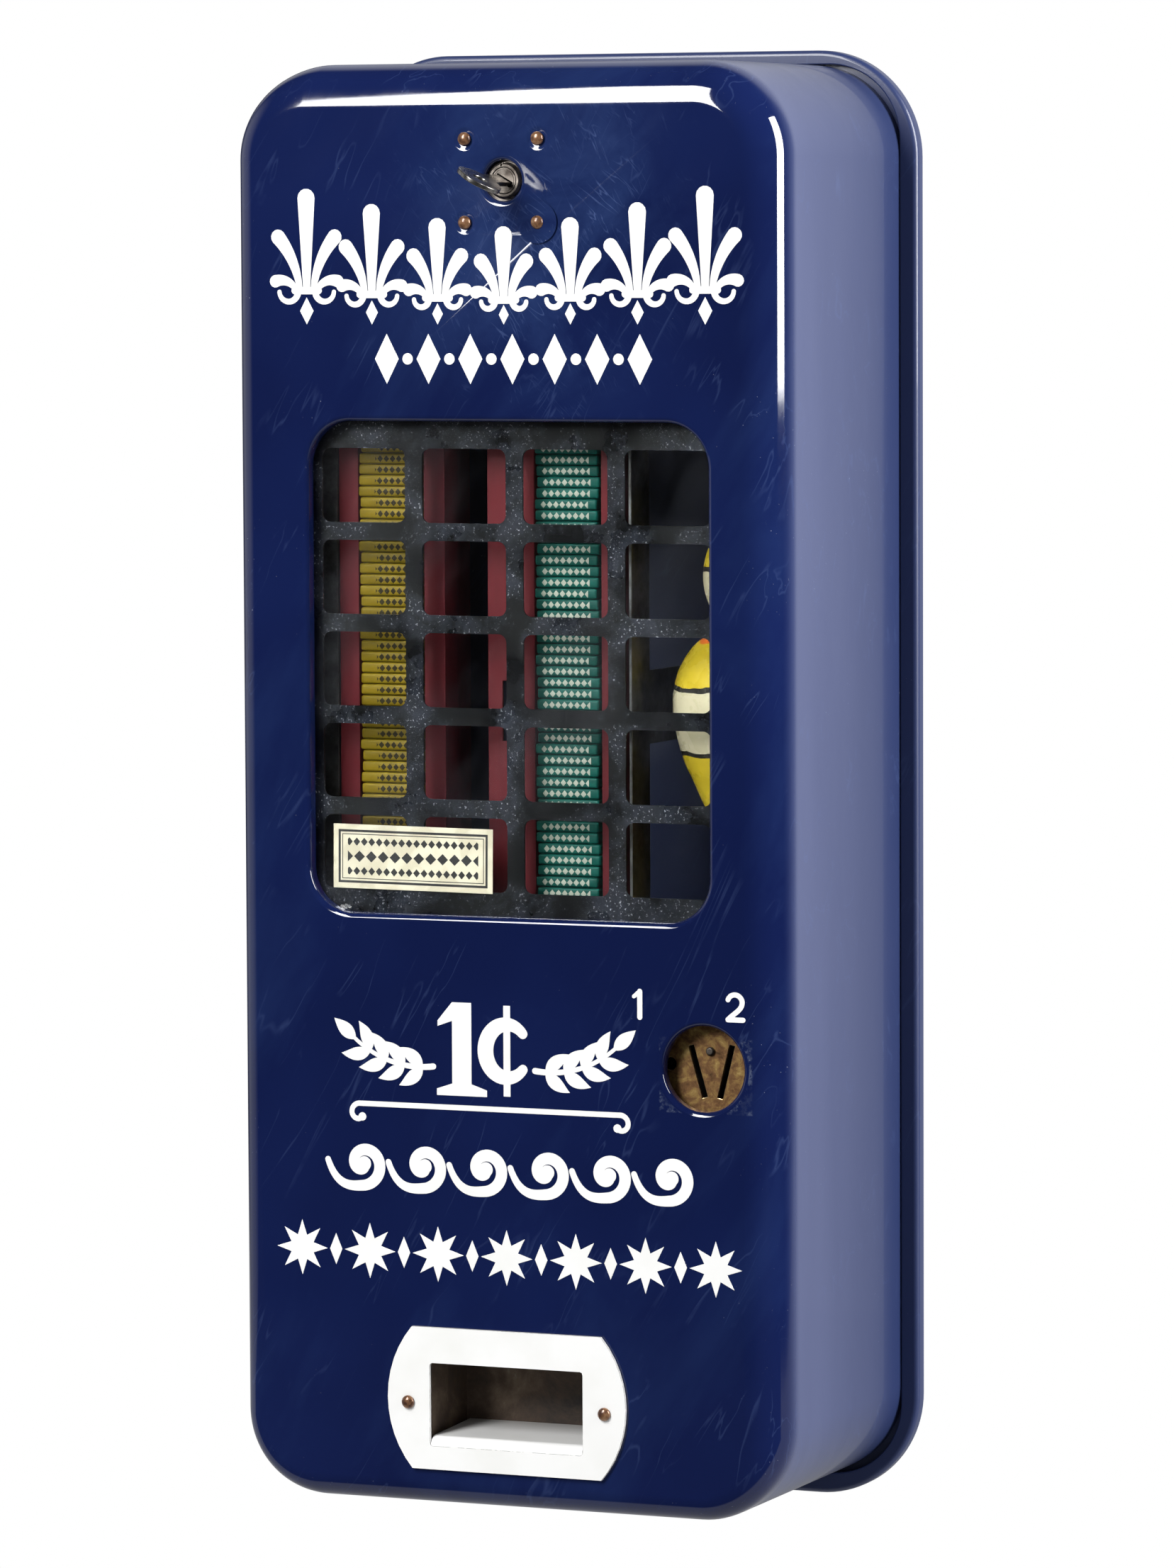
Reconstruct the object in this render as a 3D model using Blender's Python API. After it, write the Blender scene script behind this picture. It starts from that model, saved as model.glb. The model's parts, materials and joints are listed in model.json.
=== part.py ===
"""A wall-hung gum vending machine: enamelled drawn cover on a dished back plate, with the window,
lock and delivery fittings on the cover, and the columns, clockwork and turntable on the chassis.

Metres, +Z up. The wall is the plane y = 0 and the machine stands out from it towards -Y, so a
place in front of the wall is given as a distance d, with y = -d. The origin is the middle of
the back plate's rear face. Heights are given from the lower edge of the cover.
"""

import math

import bmesh
import bpy
from mathutils import Matrix, Vector

# Driving sizes of the case
COVER_W = 0.2080
COVER_H = 0.5076
COVER_R = 0.0334
COVER_FILLET = 0.0090
COVER_RISE = 0.0078
PLATE_TOP_MARGIN = 0.0053
PLATE_SIDE_MARGIN = 0.0070
PLATE_W = COVER_W + 2 * PLATE_SIDE_MARGIN
PLATE_H = COVER_RISE + COVER_H + PLATE_TOP_MARGIN
PLATE_R = 0.0383
DEPTH = 0.1209
SHEET = 0.0015
THIN_SHEET = 0.0008
FIT = 0.0003
OVERRUN = 0.0040

# Driving places of the fittings, from the middle and from the cover's edges
WINDOW_X = 0.0008
WINDOW_W = 0.1520
COIN_HEIGHT = 0.1590
WINDOW_RISE = 0.05035
WINDOW_LOW = COIN_HEIGHT + WINDOW_RISE
WINDOW_TOP_GAP = 0.12495
WINDOW_H = COVER_H - WINDOW_TOP_GAP - WINDOW_LOW
WINDOW_MID = WINDOW_LOW + WINDOW_H / 2
WINDOW_R = 0.0160
LOCK_DROP = 0.0412
LOCK_HEIGHT = COVER_H - LOCK_DROP
COIN_X = 0.0745
DELIVERY_W = 0.0586
DELIVERY_LOW = 0.0248
DELIVERY_TOP = 0.0509
CHUTE_SETBACK = 0.0330
CHUTE_BACK_D = DEPTH - CHUTE_SETBACK
CHUTE_T = 0.0010
SHELF_HEIGHT = 0.0935
COLUMN_TOP_GAP = 0.0776
COLUMN_TOP = COVER_H - COLUMN_TOP_GAP
LEFT_PACK_X = -0.0517
RIGHT_PACK_X = 0.0162
TURN_X = 0.0745
TURN_SETBACK = 0.0419
TURN_D = DEPTH - TURN_SETBACK

# The gum packs, which the columns, followers and ejectors fit
PACK_W = 0.0238
PACK_L = 0.0380
PACK_T = 0.0039
PACK_SETBACK = 0.0194
PACK_FRONT_D = DEPTH - PACK_SETBACK

# Facets
CORNER_STEPS = 6
ROUND_STEPS = 20
SMALL_STEPS = 12

REAR_D = SHEET + FIT
FRONT_IN_D = DEPTH - SHEET


def up(height):
    """World height of a place given from the lower edge of the cover."""
    return COVER_RISE + height - PLATE_H / 2


def place(x, d, height):
    return Vector((x, -d, up(height)))


# Materials


def material(name, colour, roughness, metallic=0.0, transmission=0.0):
    """A Principled material, made once for each name."""
    found = bpy.data.materials.get(name)
    if found:
        return found
    made = bpy.data.materials.new(name)
    made.use_nodes = True
    shader = made.node_tree.nodes["Principled BSDF"]
    shader.inputs["Base Color"].default_value = (*colour, 1.0)
    shader.inputs["Roughness"].default_value = roughness
    shader.inputs["Metallic"].default_value = metallic
    shader.inputs["Transmission Weight"].default_value = transmission
    made.diffuse_color = (*colour, 1.0)
    return made


def navy_enamel():
    return material("navy_enamel", (0.012, 0.020, 0.130), 0.10)


def white_enamel():
    return material("white_enamel", (0.86, 0.86, 0.84), 0.15)


def black_paint():
    return material("black_paint", (0.020, 0.022, 0.026), 0.35)


def maroon_paint():
    return material("maroon_paint", (0.140, 0.018, 0.022), 0.35)


def steel():
    return material("steel", (0.42, 0.43, 0.45), 0.38, 1.0)


def nickel():
    return material("nickel", (0.48, 0.46, 0.42), 0.32, 1.0)


def brass():
    return material("brass", (0.52, 0.36, 0.13), 0.38, 1.0)


def copper():
    return material("copper", (0.50, 0.25, 0.12), 0.35, 1.0)


def brown_steel():
    return material("brown_steel", (0.075, 0.048, 0.030), 0.60, 0.6)


def glass():
    return material("glass", (0.93, 0.95, 0.95), 0.04, 0.0, 1.0)


def cream_paper():
    return material("cream_paper", (0.83, 0.79, 0.64), 0.75)


def yellow_paper():
    return material("yellow_paper", (0.72, 0.52, 0.06), 0.50)


def teal_paper():
    return material("teal_paper", (0.03, 0.36, 0.27), 0.50)


def yellow_tin():
    return material("yellow_tin", (0.80, 0.62, 0.05), 0.35)


def cream_tin():
    return material("cream_tin", (0.82, 0.76, 0.58), 0.35)


# Modelling helpers


def add_object(name, bm, mat, origin=Vector((0, 0, 0)), smooth_angle=None):
    """Close the mesh up, put the object's origin where asked, and link it."""
    bmesh.ops.remove_doubles(bm, verts=bm.verts, dist=1e-7)
    bmesh.ops.recalc_face_normals(bm, faces=bm.faces)
    bmesh.ops.translate(bm, verts=bm.verts, vec=-Vector(origin))
    mesh = bpy.data.meshes.new(name)
    bm.to_mesh(mesh)
    bm.free()
    if mat:
        mesh.materials.append(mat)
    if smooth_angle:
        mesh.shade_smooth()
        mesh.set_sharp_from_angle(angle=math.radians(smooth_angle))
    obj = bpy.data.objects.new(name, mesh)
    obj.location = origin
    bpy.context.scene.collection.objects.link(obj)
    return obj


def helper_object(name, bm):
    """A cutter or a part to be joined on, which isn't rendered."""
    obj = add_object(name, bm, None)
    obj.hide_render = True
    obj.display_type = "WIRE"
    return obj


def merge(meshes):
    """Several bmeshes as one."""
    whole = bmesh.new()
    for bm in meshes:
        mesh = bpy.data.meshes.new("merging")
        bmesh.ops.recalc_face_normals(bm, faces=bm.faces)
        bm.to_mesh(mesh)
        bm.free()
        whole.from_mesh(mesh)
        bpy.data.meshes.remove(mesh)
    return whole


def cut(obj, meshes):
    modifier = obj.modifiers.new("cut", "BOOLEAN")
    modifier.operation = "DIFFERENCE"
    modifier.object = helper_object(obj.name + "_cutter", merge(meshes))


def join(obj, meshes):
    modifier = obj.modifiers.new("join", "BOOLEAN")
    modifier.operation = "UNION"
    modifier.object = helper_object(obj.name + "_joined", merge(meshes))


def loft(rings, closed=False):
    """Faces between rings of equally many points, with end caps unless it closes on itself."""
    bm = bmesh.new()
    loops = [[bm.verts.new(point) for point in ring] for ring in rings]
    pairs = list(zip(loops, loops[1:]))
    if closed:
        pairs.append((loops[-1], loops[0]))
    for one, other in pairs:
        for i in range(len(one)):
            j = (i + 1) % len(one)
            bm.faces.new((one[i], one[j], other[j], other[i]))
    if not closed:
        bm.faces.new(loops[0])
        bm.faces.new(loops[-1])
    return bm


def extruded(points, vector):
    """A face through the points, extruded along the vector."""
    bm = bmesh.new()
    face = bm.faces.new([bm.verts.new(point) for point in points])
    made = bmesh.ops.extrude_face_region(bm, geom=[face])
    moved = [part for part in made["geom"] if isinstance(part, bmesh.types.BMVert)]
    bmesh.ops.translate(bm, verts=moved, vec=vector)
    return bm


def front_prism(outline, low_d, high_d):
    """An outline of (x, height) points, from low_d to high_d in front of the wall."""
    return extruded([place(x, low_d, h) for x, h in outline], Vector((0, low_d - high_d, 0)))


def plan_prism(outline, low, high):
    """An outline of (x, d) points, from one height to another."""
    return extruded([place(x, d, low) for x, d in outline], Vector((0, 0, high - low)))


def side_prism(outline, low_x, high_x):
    """An outline of (d, height) points, from one x to another."""
    return extruded([place(low_x, d, h) for d, h in outline], Vector((high_x - low_x, 0, 0)))


def box(x_range, d_range, h_range):
    (x0, x1), (h0, h1) = x_range, h_range
    return front_prism([(x0, h0), (x1, h0), (x1, h1), (x0, h1)], *d_range)


def rounded_rect(half_w, half_h, radius, x=0.0, h=0.0, steps=CORNER_STEPS):
    """(x, height) points of a rectangle with round corners, anticlockwise seen from the front."""
    points = []
    for quarter, (sx, sh) in enumerate(((1, 1), (-1, 1), (-1, -1), (1, -1))):
        for step in range(steps + 1):
            angle = math.pi / 2 * (quarter + step / steps)
            points.append(
                (
                    x + sx * (half_w - radius) + radius * math.cos(angle),
                    h + sh * (half_h - radius) + radius * math.sin(angle),
                )
            )
    return points


def rect_ring(half_w, half_h, radius, d, x=0.0, h=0.0):
    return [place(px, d, ph) for px, ph in rounded_rect(half_w, half_h, radius, x, h)]


def turned(profile, centre, axis="Y", steps=ROUND_STEPS):
    """A profile of (radius, distance) points turned about an axis. A profile that keeps off the
    axis is a closed loop. Distances run towards the front on Y, and upwards on Z."""
    bm = bmesh.new()
    if axis == "Y":
        points = [centre + Vector((r, -along, 0)) for r, along in profile]
        direction = Vector((0, 1, 0))
    else:
        points = [centre + Vector((r, 0, along)) for r, along in profile]
        direction = Vector((0, 0, 1))
    verts = [bm.verts.new(point) for point in points]
    edges = [bm.edges.new(pair) for pair in zip(verts, verts[1:])]
    if profile[0][0] > 0:
        edges.append(bm.edges.new((verts[-1], verts[0])))
    bmesh.ops.spin(
        bm,
        geom=verts + edges,
        cent=centre,
        axis=direction,
        angle=2 * math.pi,
        steps=steps,
        use_merge=True,
    )
    bmesh.ops.remove_doubles(bm, verts=bm.verts, dist=1e-7)
    return bm


def spot(x, height):
    """The point on the wall's plane behind a fitting."""
    return place(x, 0, height)


def rod(x, height, radius, low_d, high_d, steps=SMALL_STEPS):
    profile = [(0, low_d), (radius, low_d), (radius, high_d), (0, high_d)]
    return turned(profile, spot(x, height), steps=steps)


def folded_sheet(line, thickness):
    """The closed outline of a bent sheet whose one side follows the line and whose other side
    lies to the left of it, with mitred corners."""
    def left_of(a, b):
        run = Vector((b[0] - a[0], b[1] - a[1])).normalized()
        return Vector((-run.y, run.x))

    normals = [left_of(a, b) for a, b in zip(line, line[1:])]
    other = []
    for i, point in enumerate(line):
        before = normals[max(i - 1, 0)]
        after = normals[min(i, len(normals) - 1)]
        mitre = (before + after).normalized()
        other.append(Vector(point) + mitre * (thickness / mitre.dot(after)))
    return [tuple(point) for point in line] + [tuple(point) for point in reversed(other)]


# Back plate: a pressed tray with its rim turned back to the wall and its middle dished to it
RIM_D = 0.0055
RIM_ROLL = 0.0020
RIM_ROLL_STEPS = 3
DISH_R = 0.0270
DISH_GAP = 0.0005
SCREW_HOLE_R = 0.0024
SCREW_HOLE_X = 0.0700
SCREW_HOLE_LOW = 0.0500
SCREW_HOLE_DROP = 0.0526
SCREW_HOLE_HEIGHTS = (SCREW_HOLE_LOW, COVER_H - SCREW_HOLE_DROP)


def make_back_plate():
    half_w, half_h = PLATE_W / 2, PLATE_H / 2
    plate_mid = half_h - COVER_RISE
    dish_w, dish_h = COVER_W / 2 + DISH_GAP, COVER_H / 2 + DISH_GAP
    cover_mid = COVER_H / 2

    def dish_ring(grow, d):
        return rect_ring(dish_w + grow, dish_h + grow, DISH_R + grow, d, 0, cover_mid)

    def rim_ring(inset, d):
        return rect_ring(half_w - inset, half_h - inset, PLATE_R - inset, d, 0, plate_mid)

    rings = [dish_ring(SHEET, 0), dish_ring(SHEET, RIM_D - SHEET)]
    rings += [rim_ring(SHEET, RIM_D - SHEET), rim_ring(SHEET, 0), rim_ring(0, 0)]
    for step in range(RIM_ROLL_STEPS + 1):
        angle = math.pi / 2 * step / RIM_ROLL_STEPS
        inset = RIM_ROLL * (1 - math.cos(angle))
        rings.append(rim_ring(inset, RIM_D - RIM_ROLL + RIM_ROLL * math.sin(angle)))
    rings += [dish_ring(0, RIM_D), dish_ring(0, SHEET)]
    plate = add_object("back_plate", loft(rings), navy_enamel(), smooth_angle=40)
    cut(
        plate,
        [
            rod(side * SCREW_HOLE_X, height, SCREW_HOLE_R, -OVERRUN, SHEET + OVERRUN)
            for side in (-1, 1)
            for height in SCREW_HOLE_HEIGHTS
        ],
    )


# Cover hangers: angle tabs on the back plate that the cover's top wall hangs on
HANGER_X = 0.0500
HANGER_W = 0.0240
HANGER_REACH = 0.0160
HANGER_FOOT = 0.0180


def make_cover_hangers():
    top = COVER_H - SHEET - FIT
    line = [(REAR_D, top - HANGER_FOOT), (REAR_D, top), (REAR_D + HANGER_REACH, top)]
    for side, name in ((-1, "cover_hanger_left"), (1, "cover_hanger_right")):
        middle = side * HANGER_X
        tab = side_prism(
            folded_sheet(list(reversed(line)), SHEET), middle - HANGER_W / 2, middle + HANGER_W / 2
        )
        add_object(name, tab, steel())


# Cover: one drawn shell with a rolled window lip and pressed-in coin and lock holes
FILLET_STEPS = 4
LIP_R = 0.0022
LIP_D = 0.0050
LIP_STEPS = 3
COIN_HOLE_R = 0.0150
COIN_FLARE = 0.0020
COIN_LIP_D = 0.0045
LOCK_HOLE_R = 0.0071
LOCK_FLARE = 0.0020
LOCK_DISH_R = 0.0150
LOCK_DISH_FLAT_R = 0.0115
LOCK_DISH_D = 0.0008
LOCK_LIP_D = 0.0038
DELIVERY_MARGIN = 0.0020
RIVET_SHANK_R = 0.0013
LOCK_RIVET_X = 0.0138
LOCK_RIVET_RISE = 0.0145
DELIVERY_RIVET_MARGIN = 0.0083
DELIVERY_RIVET_RISE = 0.0118
FLARE_STEPS = 3
ENTRY_SLOPE = math.radians(14)


def flare_points(radius, flare, level):
    """The quarter round that leads from the level face down into a hole, from its lip out."""
    points = []
    for step in range(FLARE_STEPS):
        angle = math.pi / 2 * (1 - step / FLARE_STEPS)
        points.append(
            (radius + flare * (1 - math.sin(angle)), level - flare * (1 - math.cos(angle)))
        )
    return points


def hole_cutter(x, height, radius, flare, lip_d):
    """Cuts a round hole whose edge rolls inwards."""
    profile = [(0, DEPTH - lip_d - OVERRUN), (radius, DEPTH - lip_d - OVERRUN)]
    profile += flare_points(radius, flare, DEPTH)
    last_r, last_d = profile[-1]
    reach = (DEPTH + OVERRUN - last_d) / math.tan(ENTRY_SLOPE)
    profile += [(last_r + reach, DEPTH + OVERRUN), (0, DEPTH + OVERRUN)]
    return turned(profile, spot(x, height))


def hole_lip(x, height, radius, flare, lip_d):
    """The turned-in edge behind the sheet, whose middle hole_cutter takes out."""
    top = DEPTH - SHEET / 2
    profile = [
        (0, DEPTH - lip_d),
        (radius + SHEET, DEPTH - lip_d),
        (radius + SHEET, DEPTH - flare),
        (radius + flare, FRONT_IN_D),
        (radius + flare, top),
        (0, top),
    ]
    return turned(profile, spot(x, height))


def lock_dish_cutter():
    """The shallow dish round the lock, with the lock's hole in the middle."""
    level = DEPTH - LOCK_DISH_D
    slope = LOCK_DISH_D / (LOCK_DISH_R - LOCK_DISH_FLAT_R)
    profile = [(0, DEPTH - LOCK_LIP_D - OVERRUN), (LOCK_HOLE_R, DEPTH - LOCK_LIP_D - OVERRUN)]
    profile += flare_points(LOCK_HOLE_R, LOCK_FLARE, level)
    profile += [
        (LOCK_HOLE_R + LOCK_FLARE, level),
        (LOCK_DISH_FLAT_R, level),
        (LOCK_DISH_R + OVERRUN, DEPTH + OVERRUN * slope),
        (0, DEPTH + OVERRUN * slope),
    ]
    return turned(profile, spot(0, LOCK_HEIGHT))


def lock_dish_back():
    """The back of that dish and of the hole's lip."""
    level = FRONT_IN_D - LOCK_DISH_D
    top = DEPTH - SHEET * 3 / 4
    profile = [
        (0, DEPTH - LOCK_LIP_D),
        (LOCK_HOLE_R + SHEET, DEPTH - LOCK_LIP_D),
        (LOCK_HOLE_R + SHEET, level - FIT),
        (LOCK_HOLE_R + SHEET + FIT, level),
        (LOCK_DISH_FLAT_R, level),
        (LOCK_DISH_R + SHEET, top),
        (0, top),
    ]
    return turned(profile, spot(0, LOCK_HEIGHT))


def lock_rivet_places():
    return [
        (sx * LOCK_RIVET_X, LOCK_HEIGHT + sh * LOCK_RIVET_RISE) for sh in (1, -1) for sx in (-1, 1)
    ]


def delivery_rivet_places():
    reach, height = DELIVERY_W / 2 + DELIVERY_RIVET_MARGIN, DELIVERY_LOW + DELIVERY_RIVET_RISE
    return [(side * reach, height) for side in (-1, 1)]


def make_front_cover():
    half_w, half_h, mid = COVER_W / 2, COVER_H / 2, COVER_H / 2

    def shell_ring(inset, d):
        return rect_ring(half_w - inset, half_h - inset, COVER_R - inset, d, 0, mid)

    def window_ring(grow, d):
        return rect_ring(
            WINDOW_W / 2 + grow, WINDOW_H / 2 + grow, WINDOW_R + grow, d, WINDOW_X, WINDOW_MID
        )

    def quarter(steps):
        return [math.pi / 2 * step / steps for step in range(steps + 1)]

    rings = [shell_ring(0, REAR_D)]
    for angle in quarter(FILLET_STEPS):
        inset = COVER_FILLET * (1 - math.cos(angle))
        rings.append(shell_ring(inset, DEPTH - COVER_FILLET * (1 - math.sin(angle))))
    for angle in quarter(LIP_STEPS):
        grow = LIP_R * (1 - math.sin(angle))
        rings.append(window_ring(grow, DEPTH - LIP_R * (1 - math.cos(angle))))
    rings += [window_ring(0, DEPTH - LIP_D), window_ring(SHEET, DEPTH - LIP_D)]
    rings += [window_ring(SHEET, DEPTH - LIP_R), window_ring(LIP_R, FRONT_IN_D)]
    inner = COVER_FILLET - SHEET
    for angle in reversed(quarter(FILLET_STEPS)):
        inset = COVER_FILLET - inner * math.cos(angle)
        rings.append(shell_ring(inset, DEPTH - COVER_FILLET + inner * math.sin(angle)))
    rings.append(shell_ring(SHEET, REAR_D))
    cover = add_object("front_cover", loft(rings, closed=True), navy_enamel(), smooth_angle=40)
    join(
        cover,
        [
            hole_lip(COIN_X, COIN_HEIGHT, COIN_HOLE_R, COIN_FLARE, COIN_LIP_D),
            lock_dish_back(),
        ],
    )
    half = DELIVERY_W / 2 + DELIVERY_MARGIN
    cutters = [
        hole_cutter(COIN_X, COIN_HEIGHT, COIN_HOLE_R, COIN_FLARE, COIN_LIP_D),
        lock_dish_cutter(),
        box(
            (-half, half),
            (FRONT_IN_D - OVERRUN, DEPTH + OVERRUN),
            (DELIVERY_LOW - DELIVERY_ROLL - DELIVERY_MARGIN / 2, DELIVERY_TOP + DELIVERY_MARGIN),
        ),
    ]
    for x, height in lock_rivet_places() + delivery_rivet_places():
        cutters.append(
            rod(x, height, RIVET_SHANK_R + FIT, FRONT_IN_D - OVERRUN, DEPTH + OVERRUN, SMALL_STEPS)
        )
    cut(cover, cutters)


# Window: glass behind the lip, a paper label, and the pressed guard grille behind them
GLASS_LAP = 0.0055
GLASS_T = 0.0025
GLASS_FRONT_D = DEPTH - LIP_D - FIT
GLASS_REAR_D = GLASS_FRONT_D - GLASS_T
LABEL_W = 0.0615
LABEL_H = 0.0227
LABEL_T = 0.0002
LABEL_INSET = 0.0367
LABEL_X = WINDOW_X - WINDOW_W / 2 + LABEL_INSET
LABEL_RISE = 0.01915
LABEL_MID = WINDOW_LOW + LABEL_RISE
LABEL_TILT = math.radians(-0.5)
GRILLE_T = 0.0008
GRILLE_LAP = 0.0095
GRILLE_GAP = 0.0012
GRILLE_FRONT_D = GLASS_REAR_D - GRILLE_GAP
GRILLE_REAR_D = GRILLE_FRONT_D - GRILLE_T
GRILLE_COLUMN_ROOM = 0.0370
GRILLE_ROW_ROOM = 0.0340
GRILLE_COLUMNS = int(WINDOW_W / GRILLE_COLUMN_ROOM)
GRILLE_ROWS = int(WINDOW_H / GRILLE_ROW_ROOM)
GRILLE_BAR_W = 0.0065
GRILLE_BAR_H = 0.0063
GRILLE_SIDE_MARGIN = 0.00205
GRILLE_TOP_MARGIN = 0.0088
GRILLE_PITCH_X = (WINDOW_W - 2 * GRILLE_SIDE_MARGIN + GRILLE_BAR_W) / GRILLE_COLUMNS
GRILLE_PITCH_H = (WINDOW_H - 2 * GRILLE_TOP_MARGIN + GRILLE_BAR_H) / GRILLE_ROWS
GRILLE_HOLE_R = 0.0030
GRILLE_CORNER_R = 0.0085
GRILLE_DROP = 0.0009
GRILLE_FLANGE_D = 0.0030
HOLE_STEPS = 2


def make_window_glass():
    half_w, half_h = WINDOW_W / 2 + GLASS_LAP, WINDOW_H / 2 + GLASS_LAP
    outline = rounded_rect(half_w, half_h, WINDOW_R, WINDOW_X, WINDOW_MID)
    add_object("window_glass", front_prism(outline, GLASS_REAR_D, GLASS_FRONT_D), glass())


def make_window_label():
    half_w, half_h = LABEL_W / 2, LABEL_H / 2
    rear = GLASS_REAR_D - FIT - LABEL_T
    corners = []
    for sx, sh in ((-1, -1), (1, -1), (1, 1), (-1, 1)):
        x, h = sx * half_w, sh * half_h
        corners.append(
            (
                LABEL_X + x * math.cos(LABEL_TILT) - h * math.sin(LABEL_TILT),
                LABEL_MID + x * math.sin(LABEL_TILT) + h * math.cos(LABEL_TILT),
            )
        )
    add_object("window_label", front_prism(corners, rear, rear + LABEL_T), cream_paper())


def grille_hole(column, row):
    """One opening. Those in the corners follow the round corners of the window."""
    x = WINDOW_X + (column - (GRILLE_COLUMNS - 1) / 2) * GRILLE_PITCH_X
    h = WINDOW_MID - GRILLE_DROP + ((GRILLE_ROWS - 1) / 2 - row) * GRILLE_PITCH_H
    half_w, half_h = (GRILLE_PITCH_X - GRILLE_BAR_W) / 2, (GRILLE_PITCH_H - GRILLE_BAR_H) / 2
    points = []
    for quarter, (sx, sh) in enumerate(((1, 1), (-1, 1), (-1, -1), (1, -1))):
        outer_x = column == (GRILLE_COLUMNS - 1 if sx > 0 else 0)
        outer_h = row == (0 if sh > 0 else GRILLE_ROWS - 1)
        radius = GRILLE_CORNER_R if outer_x and outer_h else GRILLE_HOLE_R
        for step in range(HOLE_STEPS + 1):
            angle = math.pi / 2 * (quarter + step / HOLE_STEPS)
            points.append(
                (
                    x + sx * (half_w - radius) + radius * math.cos(angle),
                    h + sh * (half_h - radius) + radius * math.sin(angle),
                )
            )
    return front_prism(points, GRILLE_REAR_D - OVERRUN, GRILLE_FRONT_D + OVERRUN)


def make_guard_grille():
    """A sheet with a stiffening flange turned back round its edge."""
    half_w, half_h = WINDOW_W / 2 + GRILLE_LAP, WINDOW_H / 2 + GRILLE_LAP
    low = GRILLE_REAR_D - GRILLE_FLANGE_D

    def ring(inset, d):
        return rect_ring(
            half_w - inset, half_h - inset, WINDOW_R - inset, d, WINDOW_X, WINDOW_MID
        )

    rings = [ring(GRILLE_T, GRILLE_REAR_D), ring(GRILLE_T, low), ring(0, low)]
    rings.append(ring(0, GRILLE_FRONT_D))
    grille = add_object("guard_grille", loft(rings), black_paint())
    cut(
        grille,
        [grille_hole(c, r) for c in range(GRILLE_COLUMNS) for r in range(GRILLE_ROWS)],
    )


# Grille clips: stepped straps fixed to the inside of the cover, above and below the window
CLIP_W = 0.0260
CLIP_FOOT = 0.0100
CLIP_HOLD = 0.0045
CLIP_SIDE_GAP = 0.0006


def make_grille_clips():
    foot_d = FRONT_IN_D - FIT
    hold_d = GRILLE_REAR_D - GRILLE_FLANGE_D - FIT
    reach = WINDOW_H / 2 + GRILLE_LAP + CLIP_SIDE_GAP
    for side, name in ((1, "grille_clip_top"), (-1, "grille_clip_bottom")):
        edge = WINDOW_MID + side * reach
        line = [
            (foot_d, edge + side * CLIP_FOOT),
            (foot_d, edge),
            (hold_d, edge),
            (hold_d, edge - side * CLIP_HOLD),
        ]
        outer = folded_sheet(line, -side * THIN_SHEET)
        strap = side_prism(outer, WINDOW_X - CLIP_W / 2, WINDOW_X + CLIP_W / 2)
        add_object(name, strap, steel())


# Lock: riveted backing plate, barrel with a flange behind it, plug, cam and flat key
LOCK_PLATE_W = 0.0400
LOCK_PLATE_H = 0.0420
LOCK_PLATE_T = 0.0015
LOCK_PLATE_D = FRONT_IN_D - LOCK_DISH_D - FIT
BARREL_R = 0.0064
BARREL_FACE_D = DEPTH - 0.0022
BARREL_L = 0.0270
BARREL_FLANGE_R = 0.0110
BARREL_FLANGE_T = 0.0020
BARREL_ROUND = 0.0008
PLUG_R = 0.0045
PLUG_CLEARANCE = 0.0003
PLUG_SET = 0.0002
CAM_L = 0.0200
CAM_HUB_R = 0.0068
CAM_W = 0.0090
CAM_T = 0.0025
CAM_TIP_SHARE = 0.35
KEY_TURN = math.radians(30)
KEY_T = 0.0016
KEY_BLADE_W = 0.0060
KEY_BLADE_L = 0.0190
KEY_SLOT_GAP = 0.0003
KEY_SLOT_L = 0.0200
KEY_BOW_R = 0.0084
KEY_BOW_HOLE_R = 0.0026
KEY_BOW_REACH = 0.0207
KEY_NECK_W = 0.0058
RIVET_HEAD_R = 0.0024
RIVET_HEAD_H = 0.0016
RIVET_TAIL_R = 0.0021
RIVET_TAIL_H = 0.0009
RIVET_STEPS = 12
DOME_STEPS = 3


def rivet(name, x, height, seat_d, tail_d):
    """A dome-headed rivet: its head seats at seat_d, and its tail spreads behind tail_d."""
    seat, tail = seat_d + FIT, tail_d - FIT
    profile = [(0, tail - RIVET_TAIL_H), (RIVET_TAIL_R, tail - RIVET_TAIL_H), (RIVET_TAIL_R, tail)]
    profile += [(RIVET_SHANK_R, tail), (RIVET_SHANK_R, seat)]
    for step in range(DOME_STEPS):
        angle = math.pi / 2 * step / DOME_STEPS
        profile.append((RIVET_HEAD_R * math.cos(angle), seat + RIVET_HEAD_H * math.sin(angle)))
    profile.append((0, seat + RIVET_HEAD_H))
    body = turned(profile, spot(x, height), steps=RIVET_STEPS)
    add_object(name, body, copper(), spot(x, height), 50)


def make_lock_plate():
    outline = rounded_rect(
        LOCK_PLATE_W / 2, LOCK_PLATE_H / 2, RIVET_HEAD_R, 0, LOCK_HEIGHT, HOLE_STEPS
    )
    rear = LOCK_PLATE_D - LOCK_PLATE_T
    plate = add_object("lock_plate", front_prism(outline, rear, LOCK_PLATE_D), steel())
    ends = (rear - OVERRUN, LOCK_PLATE_D + OVERRUN)
    cutters = [rod(0, LOCK_HEIGHT, LOCK_HOLE_R + SHEET + FIT, *ends, steps=ROUND_STEPS)]
    cutters += [rod(x, h, RIVET_SHANK_R + FIT, *ends) for x, h in lock_rivet_places()]
    cut(plate, cutters)


def make_lock_rivets():
    for number, (x, height) in enumerate(lock_rivet_places(), 1):
        rivet(f"lock_rivet_{number}", x, height, DEPTH, LOCK_PLATE_D - LOCK_PLATE_T)


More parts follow.
